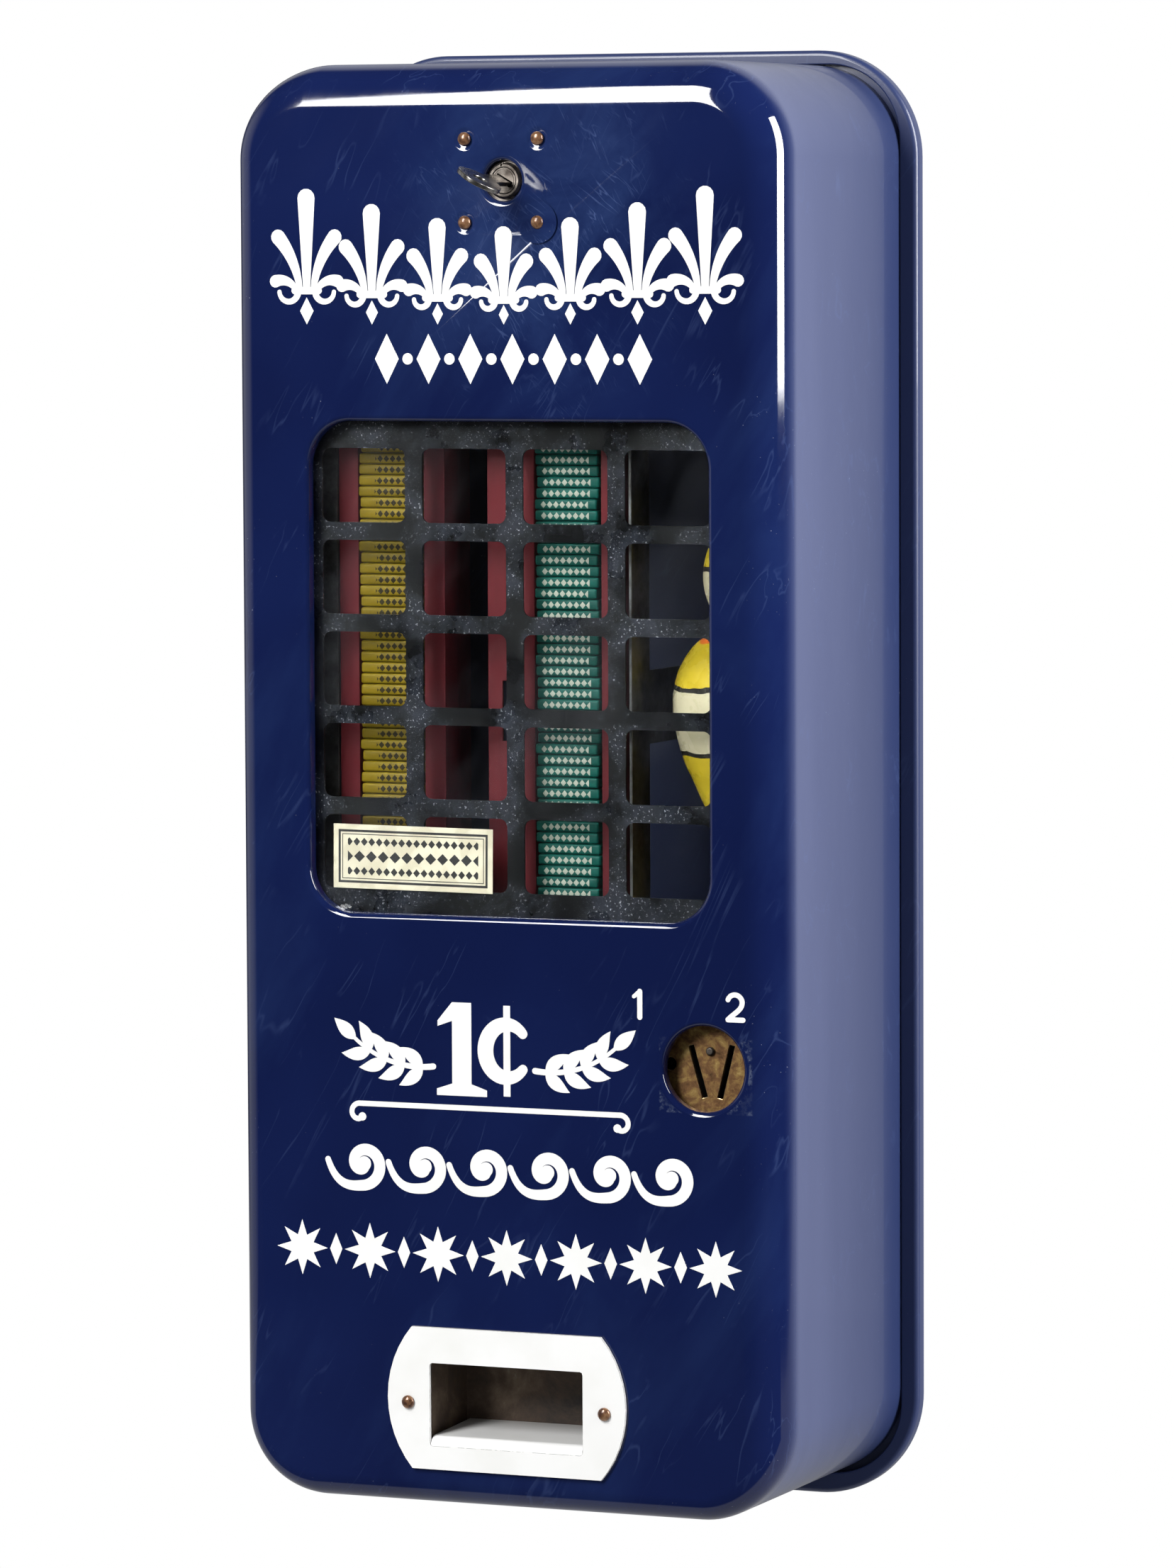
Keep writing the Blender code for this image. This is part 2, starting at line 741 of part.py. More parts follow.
def make_lock_barrel():
    bore = PLUG_R + PLUG_CLEARANCE
    rear = BARREL_FACE_D - BARREL_L
    flange = LOCK_PLATE_D - LOCK_PLATE_T - FIT
    profile = [
        (bore, rear),
        (BARREL_R, rear),
        (BARREL_R, flange - BARREL_FLANGE_T),
        (BARREL_FLANGE_R, flange - BARREL_FLANGE_T),
        (BARREL_FLANGE_R, flange),
        (BARREL_R, flange),
        (BARREL_R, BARREL_FACE_D - BARREL_ROUND),
        (BARREL_R - BARREL_ROUND, BARREL_FACE_D),
        (bore, BARREL_FACE_D),
    ]
    body = turned(profile, spot(0, LOCK_HEIGHT))
    add_object("lock_barrel", body, nickel(), spot(0, LOCK_HEIGHT), 40)


def key_turned(bm):
    """Turn a shape made flat and level about the lock's axis to the keyway's slant."""
    centre = spot(0, LOCK_HEIGHT)
    bmesh.ops.rotate(
        bm, verts=bm.verts, cent=centre, matrix=Matrix.Rotation(KEY_TURN, 3, "Y")
    )
    return bm


def level_slab(half_w, half_t, low_d, high_d):
    return box(
        (-half_w, half_w), (low_d, high_d), (LOCK_HEIGHT - half_t, LOCK_HEIGHT + half_t)
    )


def make_lock_plug():
    face = BARREL_FACE_D - PLUG_SET
    rear = BARREL_FACE_D - BARREL_L - CAM_T - FIT * 2
    profile = [(0, rear), (PLUG_R, rear), (PLUG_R, face), (0, face)]
    plug = add_object(
        "lock_plug", turned(profile, spot(0, LOCK_HEIGHT)), nickel(), spot(0, LOCK_HEIGHT), 40
    )
    slot = level_slab(
        KEY_BLADE_W / 2 + KEY_SLOT_GAP, KEY_T / 2 + KEY_SLOT_GAP, face - KEY_SLOT_L, face + OVERRUN
    )
    cut(plug, [key_turned(slot)])


def make_lock_cam():
    """A tongue that stands to the right when unlocked and swings down behind the catch."""
    front = BARREL_FACE_D - BARREL_L - FIT
    tip_half = CAM_W / 2 * (1 - CAM_TIP_SHARE)
    outline = []
    for step in range(SMALL_STEPS // 2 + 1):
        angle = math.pi / 2 + math.pi * step / (SMALL_STEPS // 2)
        outline.append((CAM_HUB_R * math.cos(angle), LOCK_HEIGHT + CAM_HUB_R * math.sin(angle)))
    outline += [(CAM_L, LOCK_HEIGHT - tip_half), (CAM_L, LOCK_HEIGHT + tip_half)]
    cam = add_object(
        "lock_cam", front_prism(outline, front - CAM_T, front), steel(), spot(0, LOCK_HEIGHT)
    )
    cut(cam, [rod(0, LOCK_HEIGHT, PLUG_R + FIT, front - CAM_T - OVERRUN, front + OVERRUN, ROUND_STEPS)])


def make_key():
    """A flat key: pierced bow in front of the barrel, neck, and blade in the keyway."""
    bow_d = BARREL_FACE_D + KEY_BOW_REACH
    blade_end = BARREL_FACE_D - KEY_BLADE_L
    half_blade, half_neck = KEY_BLADE_W / 2, KEY_NECK_W / 2
    join_angle = math.asin(half_neck / KEY_BOW_R)
    outline = [(-half_blade + KEY_T, blade_end), (half_blade - KEY_T, blade_end)]
    outline += [(half_blade, blade_end + KEY_T), (half_neck, BARREL_FACE_D + KEY_T)]
    turn = 2 * (math.pi - join_angle)
    for step in range(ROUND_STEPS + 1):
        angle = -math.pi / 2 + join_angle + turn * step / ROUND_STEPS
        outline.append((KEY_BOW_R * math.cos(angle), bow_d + KEY_BOW_R * math.sin(angle)))
    outline += [(-half_neck, BARREL_FACE_D + KEY_T), (-half_blade, blade_end + KEY_T)]
    low, high = LOCK_HEIGHT - KEY_T / 2, LOCK_HEIGHT + KEY_T / 2
    key = add_object("key", key_turned(plan_prism(outline, low, high)), nickel(), spot(0, LOCK_HEIGHT))
    hole = turned(
        [(0, -OVERRUN), (KEY_BOW_HOLE_R, -OVERRUN), (KEY_BOW_HOLE_R, OVERRUN), (0, OVERRUN)],
        place(0, bow_d, LOCK_HEIGHT),
        axis="Z",
        steps=SMALL_STEPS,
    )
    cut(key, [key_turned(hole)])


# Delivery plate: a white enamelled surround whose lower edge rolls back into the floor
DELIVERY_PLATE_BELOW = 0.0118
DELIVERY_PLATE_ABOVE = 0.0127
DELIVERY_CORNER_MARGIN = 0.0069
DELIVERY_SIDE_MARGIN = 0.0163
DELIVERY_PLATE_T = 0.0012
DELIVERY_ROLL = 0.0035
DELIVERY_ROLL_STEPS = 4
DELIVERY_FLOOR_T = 0.0010
DELIVERY_FLOOR_GAP = 0.0003
DELIVERY_HOLE_R = 0.0010
DELIVERY_ARC_STEPS = 12
DELIVERY_RISE = 0.0013


def delivery_outline():
    """Straight top and bottom edges joined by a bowed arc at each end."""
    low, top = DELIVERY_LOW - DELIVERY_PLATE_BELOW, DELIVERY_TOP + DELIVERY_PLATE_ABOVE
    half_h, mid = (top - low) / 2, (top + low) / 2
    bow = DELIVERY_SIDE_MARGIN - DELIVERY_CORNER_MARGIN
    radius = (half_h**2 + bow**2) / (2 * bow)
    reach = math.asin(half_h / radius)
    centre_x = DELIVERY_W / 2 + DELIVERY_SIDE_MARGIN - radius
    right = []
    for step in range(DELIVERY_ARC_STEPS + 1):
        angle = -reach + 2 * reach * step / DELIVERY_ARC_STEPS
        right.append((centre_x + radius * math.cos(angle), mid + radius * math.sin(angle)))
    return right + [(-x, 2 * mid - h) for x, h in right]


def delivery_floor():
    """The rolled edge and the floor behind it, as one bent tongue."""
    front = DEPTH + FIT + DELIVERY_PLATE_T - (DELIVERY_PLATE_T - DELIVERY_FLOOR_T) / 2
    centre_d, centre_h = front - DELIVERY_ROLL, DELIVERY_LOW - DELIVERY_ROLL
    line = [(front, centre_h - DELIVERY_ROLL)]
    for step in range(DELIVERY_ROLL_STEPS + 1):
        angle = math.pi / 2 * step / DELIVERY_ROLL_STEPS
        line.append(
            (
                centre_d + DELIVERY_ROLL * math.cos(angle),
                centre_h + DELIVERY_ROLL * math.sin(angle),
            )
        )
    line.append((CHUTE_BACK_D + FIT, DELIVERY_LOW + DELIVERY_RISE))
    half = DELIVERY_W / 2 - DELIVERY_FLOOR_GAP
    return side_prism(folded_sheet(line, DELIVERY_FLOOR_T), -half, half)


def make_delivery_plate():
    rear = DEPTH + FIT
    plate = add_object(
        "delivery_plate",
        front_prism(delivery_outline(), rear, rear + DELIVERY_PLATE_T),
        white_enamel(),
        smooth_angle=40,
    )
    low = DELIVERY_LOW - DELIVERY_ROLL
    mid, half_h = (DELIVERY_TOP + low) / 2, (DELIVERY_TOP - low) / 2
    opening = rounded_rect(DELIVERY_W / 2, half_h, DELIVERY_HOLE_R, 0, mid, 2)
    cutters = [front_prism(opening, rear - OVERRUN, rear + OVERRUN)]
    for x, height in delivery_rivet_places():
        cutters.append(rod(x, height, RIVET_SHANK_R + FIT, rear - OVERRUN, rear + OVERRUN))
    cut(plate, cutters)
    join(plate, [delivery_floor()])


def make_delivery_rivets():
    for number, (x, height) in enumerate(delivery_rivet_places(), 1):
        rivet(f"delivery_rivet_{number}", x, height, DEPTH + FIT + DELIVERY_PLATE_T, FRONT_IN_D)


# Catch: an arm from the back plate with a lip that the cam swings behind
CATCH_W = 0.0200
CATCH_DROP = 0.0244
CATCH_ARM_HEIGHT = LOCK_HEIGHT - CATCH_DROP
CATCH_LIP_H = 0.0110
CATCH_T = 0.0015
CATCH_FOOT = 0.0160
CATCH_CAM_GAP = 0.0006


def make_catch_bracket():
    lip = BARREL_FACE_D - BARREL_L + CATCH_CAM_GAP + CATCH_T
    line = [
        (lip, CATCH_ARM_HEIGHT + CATCH_LIP_H),
        (lip, CATCH_ARM_HEIGHT),
        (REAR_D + CATCH_T, CATCH_ARM_HEIGHT),
        (REAR_D + CATCH_T, CATCH_ARM_HEIGHT - CATCH_FOOT),
    ]
    outline = folded_sheet(line, -CATCH_T)
    add_object("catch_bracket", side_prism(outline, -CATCH_W / 2, CATCH_W / 2), steel())


# Chassis: two side frames from the back plate, and the shelf that the columns stand on
FRAME_LEFT_REACH = 0.0283
FRAME_LEFT_X = LEFT_PACK_X - FRAME_LEFT_REACH
FRAME_RIGHT_REACH = 0.0353
FRAME_RIGHT_X = TURN_X - FRAME_RIGHT_REACH
FRAME_T = 0.0012
FRAME_FEET = (0.0120, 0.0040)
FRAME_LIP = 0.0078
FRAME_BELOW_SHELF = 0.0385
FRAME_LOW = SHELF_HEIGHT - FRAME_BELOW_SHELF
FRAME_DROP = 0.0060
FRAME_TOP = COLUMN_TOP - FRAME_DROP
FRAME_SETBACK = 0.0012
FRAME_D = PACK_FRONT_D - FRAME_SETBACK
FRAME_WINDOW_MARGIN = 0.0160
FRAME_WINDOW_SHARES = ((0.31, 0.58), (0.65, 0.92))
SHELF_T = 0.0015
SHELF_FLANGE = 0.0140
SHELF_FRONT_D = CHUTE_BACK_D - CHUTE_T - FIT


def make_side_frames():
    for name, x, turn, foot_w in (
        ("side_frame_left", FRAME_LEFT_X, 1, FRAME_FEET[0]),
        ("side_frame_right", FRAME_RIGHT_X, -1, FRAME_FEET[1]),
    ):
        foot = (x - turn * foot_w, REAR_D)
        line = [foot, (x, REAR_D), (x, FRAME_D)]
        if turn > 0:
            line.append((x + FRAME_LIP, FRAME_D))
        outline = folded_sheet(line, turn * FRAME_T)
        frame = add_object(name, plan_prism(outline, FRAME_LOW, FRAME_TOP), steel())
        windows = []
        for shares in FRAME_WINDOW_SHARES:
            heights = [FRAME_LOW + share * (FRAME_TOP - FRAME_LOW) for share in shares]
            depths = (REAR_D + FRAME_WINDOW_MARGIN, FRAME_D - FRAME_WINDOW_MARGIN)
            windows.append(box((x - OVERRUN, x + OVERRUN), depths, heights))
        cut(frame, windows)


def make_column_shelf():
    low_x, high_x = FRAME_LEFT_X + FIT, FRAME_RIGHT_X - FIT
    line = [
        (SHELF_FRONT_D, SHELF_HEIGHT),
        (REAR_D, SHELF_HEIGHT),
        (REAR_D, SHELF_HEIGHT - SHELF_FLANGE),
    ]
    shelf = side_prism(folded_sheet(line, SHELF_T), low_x, high_x)
    add_object("column_shelf", shelf, steel())


# Columns: hat-section channels that hold the packs, with a passage for the ejector
COLUMN_SIDE_GAP = 0.0008
COLUMN_REAR_GAP = 0.0006
COLUMN_SETBACK = 0.0010
COLUMN_FACE_D = PACK_FRONT_D - COLUMN_SETBACK
COLUMN_RETURN = 0.0120
LEFT_COLUMN_FLANGES = (0.0075, 0.0080)
RIGHT_COLUMN_FLANGES = (0.0180, 0.0080)
PASSAGE_H = 0.0052
NOTCH_SHARES = ((0.524, 0.5375), (0.557, 0.587))
NOTCH_W = 0.0070


def column_outline(x, flanges):
    inner = PACK_W / 2 + COLUMN_SIDE_GAP
    rear = PACK_FRONT_D - PACK_L - COLUMN_REAR_GAP
    left, right = x - inner, x + inner
    line = [
        (left - flanges[0], COLUMN_FACE_D - COLUMN_RETURN),
        (left - flanges[0], COLUMN_FACE_D),
        (left, COLUMN_FACE_D),
        (left, rear),
        (right, rear),
        (right, COLUMN_FACE_D),
        (right + flanges[1], COLUMN_FACE_D),
        (right + flanges[1], COLUMN_FACE_D - COLUMN_RETURN),
    ]
    return folded_sheet(line, -THIN_SHEET)


def make_columns():
    low = SHELF_HEIGHT + FIT
    rear = PACK_FRONT_D - PACK_L - COLUMN_REAR_GAP
    inner = PACK_W / 2 + COLUMN_SIDE_GAP
    for name, x, flanges in (
        ("column_left", LEFT_PACK_X, LEFT_COLUMN_FLANGES),
        ("column_right", RIGHT_PACK_X, RIGHT_COLUMN_FLANGES),
    ):
        column = add_object(
            name, plan_prism(column_outline(x, flanges), low, COLUMN_TOP), maroon_paint()
        )
        half = inner - THIN_SHEET
        passage = (low - OVERRUN, low + PASSAGE_H)
        cutters = [box((x - half, x + half), (rear - OVERRUN, rear + OVERRUN), passage)]
        if flanges is RIGHT_COLUMN_FLANGES:
            edge = x - inner - flanges[0] / 2
            for shares in NOTCH_SHARES:
                cutters.append(
                    box(
                        (edge - NOTCH_W / 2, edge + NOTCH_W / 2),
                        (COLUMN_FACE_D - THIN_SHEET - OVERRUN, COLUMN_FACE_D + OVERRUN),
                        [low + share * (COLUMN_TOP - low) for share in shares],
                    )
                )
        cut(column, cutters)


# Gum stacks: packs lying flat with rounded long edges, over the pack that is vended next
PACK_EDGE_SHARES = ((0.0, 0.12), (0.40, 0.0))
FOLLOWER_ROOM = 0.0430


def stack_low():
    return SHELF_HEIGHT + FIT + PACK_T + FIT


def pack_count():
    """As many packs as the column holds under the follower."""
    return int((COLUMN_TOP - FOLLOWER_ROOM - stack_low()) / PACK_T)


def stack_top():
    return stack_low() + pack_count() * PACK_T


def pack_outline(low, count):
    """Side outline (d, height) of a pile of packs, scalloped at the front."""
    rear = PACK_FRONT_D - PACK_L
    points = [(rear, low + count * PACK_T), (rear, low)]
    for number in range(count):
        for rise, inset in PACK_EDGE_SHARES:
            points.append((PACK_FRONT_D - inset * PACK_T, low + (number + rise) * PACK_T))
    points.append((PACK_FRONT_D - PACK_EDGE_SHARES[0][1] * PACK_T, low + count * PACK_T))
    return points


def make_gum_stacks():
    for name, x, paper in (
        ("gum_stack_left", LEFT_PACK_X, yellow_paper()),
        ("gum_stack_right", RIGHT_PACK_X, teal_paper()),
    ):
        pile = side_prism(pack_outline(stack_low(), pack_count()), x - PACK_W / 2, x + PACK_W / 2)
        add_object(name, pile, paper)


# Followers: weights that ride down on the stacks, lifted by a knob to load the column
FOLLOWER_H = 0.0120
FOLLOWER_KNOB_R = 0.0040
FOLLOWER_NECK_R = 0.0022
FOLLOWER_KNOB_H = 0.0050
FOLLOWER_NECK_H = 0.0040
FOLLOWER_INSET = 0.0008
FOLLOWER_ROUND = 0.0020


def make_followers():
    low = stack_top() + FIT
    half_w = PACK_W / 2 - FOLLOWER_INSET
    middle = PACK_FRONT_D - PACK_L / 2
    half_l = PACK_L / 2 - FOLLOWER_INSET
    for name, x in (("follower_left", LEFT_PACK_X), ("follower_right", RIGHT_PACK_X)):
        outline = [
            (x + px, middle + pd)
            for px, pd in rounded_rect(half_w, half_l, FOLLOWER_ROUND, 0, 0, HOLE_STEPS)
        ]
        weight = add_object(
            name, plan_prism(outline, low, low + FOLLOWER_H), black_paint(), place(x, middle, low)
        )
        neck = low + FOLLOWER_H + FOLLOWER_NECK_H
        profile = [
            (0, low + FOLLOWER_H - FIT),
            (FOLLOWER_NECK_R, low + FOLLOWER_H - FIT),
            (FOLLOWER_NECK_R, neck),
            (FOLLOWER_KNOB_R, neck + FOLLOWER_KNOB_H / 3),
            (FOLLOWER_KNOB_R, neck + FOLLOWER_KNOB_H * 2 / 3),
            (FOLLOWER_NECK_R, neck + FOLLOWER_KNOB_H),
            (0, neck + FOLLOWER_KNOB_H),
        ]
        join(weight, [turned(profile, place(x, middle, 0), "Z", SMALL_STEPS)])


# Ejectors: flat blades that push the lowest pack off the shelf's front edge
EJECTOR_TRAVEL = 0.0170
EJECTOR_W = 0.0190
EJECTOR_T = 0.0032
EJECTOR_REAR_D = 0.0335
EJECTOR_LUG_T = 0.0030
EJECTOR_LUG_H = 0.0170
EJECTOR_LUG_W = 0.0090


def make_ejectors():
    low = SHELF_HEIGHT + FIT
    rear = PACK_FRONT_D - PACK_L
    for side, x, paper in (
        ("left", LEFT_PACK_X, yellow_paper()),
        ("right", RIGHT_PACK_X, teal_paper()),
    ):
        blade = add_object(
            "ejector_" + side,
            box(
                (x - EJECTOR_W / 2, x + EJECTOR_W / 2),
                (EJECTOR_REAR_D, rear - FIT),
                (low, low + EJECTOR_T),
            ),
            steel(),
            place(x, EJECTOR_REAR_D, low),
        )
        lug = box(
            (x - EJECTOR_LUG_W / 2, x + EJECTOR_LUG_W / 2),
            (EJECTOR_REAR_D + FIT, EJECTOR_REAR_D + FIT + EJECTOR_LUG_T),
            (low + EJECTOR_T / 2, low + EJECTOR_LUG_H),
        )
        join(blade, [lug])
        pack = side_prism(pack_outline(low, 1), x - PACK_W / 2, x + PACK_W / 2)
        add_object("vend_pack_" + side, pack, paper, place(x, rear, low))


# Push levers: they hang from a cross shaft and swing forward against the ejectors
LEVER_SHAFT_D = 0.0300
LEVER_SHAFT_RISE = 0.0465
LEVER_SHAFT_HEIGHT = SHELF_HEIGHT + LEVER_SHAFT_RISE
LEVER_SHAFT_R = 0.0025
LEVER_BORE_GAP = 0.0003
LEVER_HUB_R = 0.0050
LEVER_HUB_W = 0.0100
LEVER_W = 0.0060
LEVER_T = 0.0030
LEVER_L = 0.0360


def make_lever_shaft():
    low, high = FRAME_LEFT_X + FIT, FRAME_RIGHT_X - FIT
    profile = [(0, low), (LEVER_SHAFT_R, low), (LEVER_SHAFT_R, high), (0, high)]
    bm = turned(profile, Vector((0, 0, 0)), "Z", SMALL_STEPS)
    bmesh.ops.rotate(bm, verts=bm.verts, matrix=Matrix.Rotation(math.pi / 2, 3, "Y"))
    bmesh.ops.translate(bm, verts=bm.verts, vec=place(0, LEVER_SHAFT_D, LEVER_SHAFT_HEIGHT))
    add_object("lever_shaft", bm, steel(), smooth_angle=40)


def make_push_levers():
    bore = LEVER_SHAFT_R + LEVER_BORE_GAP
    top = LEVER_SHAFT_HEIGHT - (LEVER_HUB_R + bore) / 2
    for side, x in (("left", LEFT_PACK_X), ("right", RIGHT_PACK_X)):
        centre = place(x, LEVER_SHAFT_D, LEVER_SHAFT_HEIGHT)
        half = LEVER_HUB_W / 2
        profile = [(bore, -half), (LEVER_HUB_R, -half), (LEVER_HUB_R, half), (bore, half)]
        hub = turned(profile, Vector((0, 0, 0)), "Z")
        bmesh.ops.rotate(hub, verts=hub.verts, matrix=Matrix.Rotation(math.pi / 2, 3, "Y"))
        bmesh.ops.translate(hub, verts=hub.verts, vec=centre)
        lever = add_object("push_lever_" + side, hub, steel(), centre, 40)
        arm = box(
            (x - LEVER_T / 2, x + LEVER_T / 2),
            (LEVER_SHAFT_D - LEVER_W / 2, LEVER_SHAFT_D + LEVER_W / 2),
            (LEVER_SHAFT_HEIGHT - LEVER_L, top),
        )
        join(lever, [arm])


# Delivery chute: a sheet hopper below the shelf's front edge, open to the front
CHUTE_TAB_X = (-0.0400, 0.0250)
CHUTE_SIDE_GAP = 0.0010
CHUTE_HALF_W = DELIVERY_W / 2 + CHUTE_SIDE_GAP
CHUTE_BELOW = 0.0048
CHUTE_LOW = DELIVERY_LOW - CHUTE_BELOW
CHUTE_ABOVE = 0.0091
CHUTE_NECK = DELIVERY_TOP + CHUTE_ABOVE
CHUTE_DROP = 0.0055
CHUTE_TOP = SHELF_HEIGHT - CHUTE_DROP
CHUTE_FRONT_GAP = 0.0014
CHUTE_LEFT_REACH = 0.0163
CHUTE_LEFT_X = LEFT_PACK_X - CHUTE_LEFT_REACH
CHUTE_RIGHT_REACH = 0.0173
CHUTE_RIGHT_X = RIGHT_PACK_X + CHUTE_RIGHT_REACH


def chute_outline(grow, over):
    """Front outline of the hopper: straight low down, spread to the left under both columns."""
    left, right = -CHUTE_HALF_W - grow, CHUTE_HALF_W + grow
    return [
        (left, CHUTE_LOW - over),
        (right, CHUTE_LOW - over),
        (right, CHUTE_NECK),
        (CHUTE_RIGHT_X + grow, CHUTE_TOP),
        (CHUTE_RIGHT_X + grow, CHUTE_TOP + over),
        (CHUTE_LEFT_X - grow, CHUTE_TOP + over),
        (CHUTE_LEFT_X - grow, CHUTE_TOP),
        (left, CHUTE_NECK),
    ]


def make_delivery_chute():
    rear, front = CHUTE_BACK_D - CHUTE_T, FRONT_IN_D - CHUTE_FRONT_GAP
    outer = chute_outline(CHUTE_T, 0)
    chute = add_object("delivery_chute", front_prism(outer[:4] + outer[6:], rear, front), brown_steel())
    tab = box(CHUTE_TAB_X, (rear, CHUTE_BACK_D), (CHUTE_TOP - CHUTE_T, SHELF_HEIGHT - FIT))
    join(chute, [tab])
    cut(chute, [front_prism(chute_outline(0, OVERRUN), CHUTE_BACK_D, front + OVERRUN)])


# Clockwork: two plates, a spring barrel, two further arbors and a fan
SECOND_DROP = 0.0090
SECOND_HEIGHT = COIN_HEIGHT - SECOND_DROP
MOTOR_LEFT_REACH = 0.0327
MOTOR_RIGHT_REACH = 0.0243
MOTOR_LEFT_X = TURN_X - MOTOR_LEFT_REACH
MOTOR_RIGHT_X = TURN_X + MOTOR_RIGHT_REACH
MOTOR_BELOW = 0.0620
MOTOR_ABOVE = 0.0300
MOTOR_LOW = SECOND_HEIGHT - MOTOR_BELOW
MOTOR_TOP = SECOND_HEIGHT + MOTOR_ABOVE
MOTOR_BACK_REACH = 0.0550
MOTOR_SPAN = 0.0400
MOTOR_BACK_D = TURN_D - MOTOR_BACK_REACH
MOTOR_FRONT_D = MOTOR_BACK_D + MOTOR_SPAN
MOTOR_T = 0.0015
PILLAR_R = 0.0025
PILLAR_INSET = 0.0045
PILLAR_STEPS = 8
MODULE = 0.0008
MAIN_TEETH = 60
PINION_LEAVES = 12
FAN_MODULE = 0.0006
SECOND_TEETH = 48
FAN_LEAVES = 8
CROWN_TEETH = 24
MAIN_BEARING = math.radians(12)
FAN_BEARING = math.radians(45.5)
PIVOT_R = 0.0015
ARBOR_R = 0.0020
BORE_GAP = 0.0004
BARREL_CASE_R = 0.0190
FAN_BLADE_R = 0.0100
FAN_BLADE_T = 0.0008
WINDER_R = 0.0030
WING_SPAN = 0.0130
WING_T = 0.0030
WING_SHOULDER = 0.0060

# Where each piece of the train starts and ends, in front of the back motor plate's rear face
MAIN_WHEEL = (0.0120, 0.0145)
BARREL_CASE = (0.0144, 0.0385)
SECOND_WHEEL = (0.0040, 0.0060)
SECOND_PINION = (0.0090, 0.0170)
CROWN_PINION = (0.0430, 0.0485)
FAN_PINION = (0.0028, 0.0078)
FAN_BLADE = (0.0190, 0.0340)
WINDER = (0.0028, 0.0520)
WING = (0.0500, 0.0655)


def in_motor(ends):
    """The two ends of a piece of the train, as distances in front of the wall."""
    return MOTOR_BACK_D + ends[0], MOTOR_BACK_D + ends[1]


def pitch_radius(teeth, module):
    return teeth * module / 2


def second_arbor():
    return TURN_X, SECOND_HEIGHT


def main_arbor():
    reach = pitch_radius(MAIN_TEETH, MODULE) + pitch_radius(PINION_LEAVES, MODULE)
    x, height = second_arbor()
    return x - reach * math.sin(MAIN_BEARING), height - reach * math.cos(MAIN_BEARING)


def fan_arbor():
    reach = pitch_radius(SECOND_TEETH, FAN_MODULE) + pitch_radius(FAN_LEAVES, FAN_MODULE)
    x, height = second_arbor()
    return x - reach * math.sin(FAN_BEARING), height + reach * math.cos(FAN_BEARING)


# Shares of the pitch and of the module that give a tooth its width and its height
TOOTH_HALF_SHARE = 0.205
TIP_HALF_SHARE = 0.10
ADDENDUM_SHARE = 0.85
DEDENDUM_SHARE = 1.35


def gear_outline(centre, teeth, module, phase):
    """Teeth with straight flanks that taper from root to tip. The phase is the angle of one
    tooth's middle, from +X towards +Z."""
    radius = pitch_radius(teeth, module)
    pitch = math.pi * module
    tip, root = radius + ADDENDUM_SHARE * module, radius - DEDENDUM_SHARE * module
    half = TOOTH_HALF_SHARE * pitch / radius
    tip_half = TIP_HALF_SHARE * pitch / tip
    points = []
    for tooth in range(teeth):
        middle = phase + 2 * math.pi * tooth / teeth
        for r, angle in ((root, -half), (tip, -tip_half), (tip, tip_half), (root, half)):
            points.append(
                (centre[0] + r * math.cos(middle + angle), centre[1] + r * math.sin(middle + angle))
            )
    return points


def bearing_angle(start, end):
    return math.atan2(end[1] - start[1], end[0] - start[0])


def second_phase():
    """The second arbor's pinion has a gap where a tooth of the main wheel points at it."""
    return bearing_angle(second_arbor(), main_arbor()) + math.pi / PINION_LEAVES


def make_motor_plates():
    outline = [
        (MOTOR_LEFT_X, MOTOR_LOW),
        (MOTOR_RIGHT_X, MOTOR_LOW),
        (MOTOR_RIGHT_X, MOTOR_TOP),
        (MOTOR_LEFT_X, MOTOR_TOP),
    ]
    pillars = [
        (x, h)
        for x in (MOTOR_LEFT_X + PILLAR_INSET, MOTOR_RIGHT_X - PILLAR_INSET)
        for h in (MOTOR_LOW + PILLAR_INSET, MOTOR_TOP - PILLAR_INSET)
    ]
    back = add_object(
        "motor_back_plate", front_prism(outline, MOTOR_BACK_D, MOTOR_BACK_D + MOTOR_T), brass()
    )
    ends = (REAR_D, MOTOR_FRONT_D - FIT)
    join(back, [rod(x, h, PILLAR_R, *ends, PILLAR_STEPS) for x, h in pillars])
    front = add_object(
        "motor_front_plate",
        front_prism(outline, MOTOR_FRONT_D, MOTOR_FRONT_D + MOTOR_T),
        brass(),
    )
    bores = ((main_arbor(), WINDER_R), (second_arbor(), ARBOR_R), (fan_arbor(), PIVOT_R))
    for plate, low in ((back, MOTOR_BACK_D), (front, MOTOR_FRONT_D)):
        cut(
            plate,
            [
                rod(*centre, radius + BORE_GAP, low - OVERRUN / 2, low + MOTOR_T + OVERRUN / 2)
                for centre, radius in bores
            ],
        )


def make_spring_barrel():
    centre = main_arbor()
    phase = bearing_angle(centre, second_arbor())
    origin = spot(*centre)
    wheel = add_object(
        "spring_barrel",
        front_prism(gear_outline(centre, MAIN_TEETH, MODULE, phase), *in_motor(MAIN_WHEEL)),
        brass(),
        origin,
    )
    join(wheel, [rod(*centre, BARREL_CASE_R, *in_motor(BARREL_CASE), steps=ROUND_STEPS)])
    rear, front = in_motor((MAIN_WHEEL[0] - OVERRUN, BARREL_CASE[1] + OVERRUN))
    cut(wheel, [rod(*centre, WINDER_R + BORE_GAP, rear, front, ROUND_STEPS)])


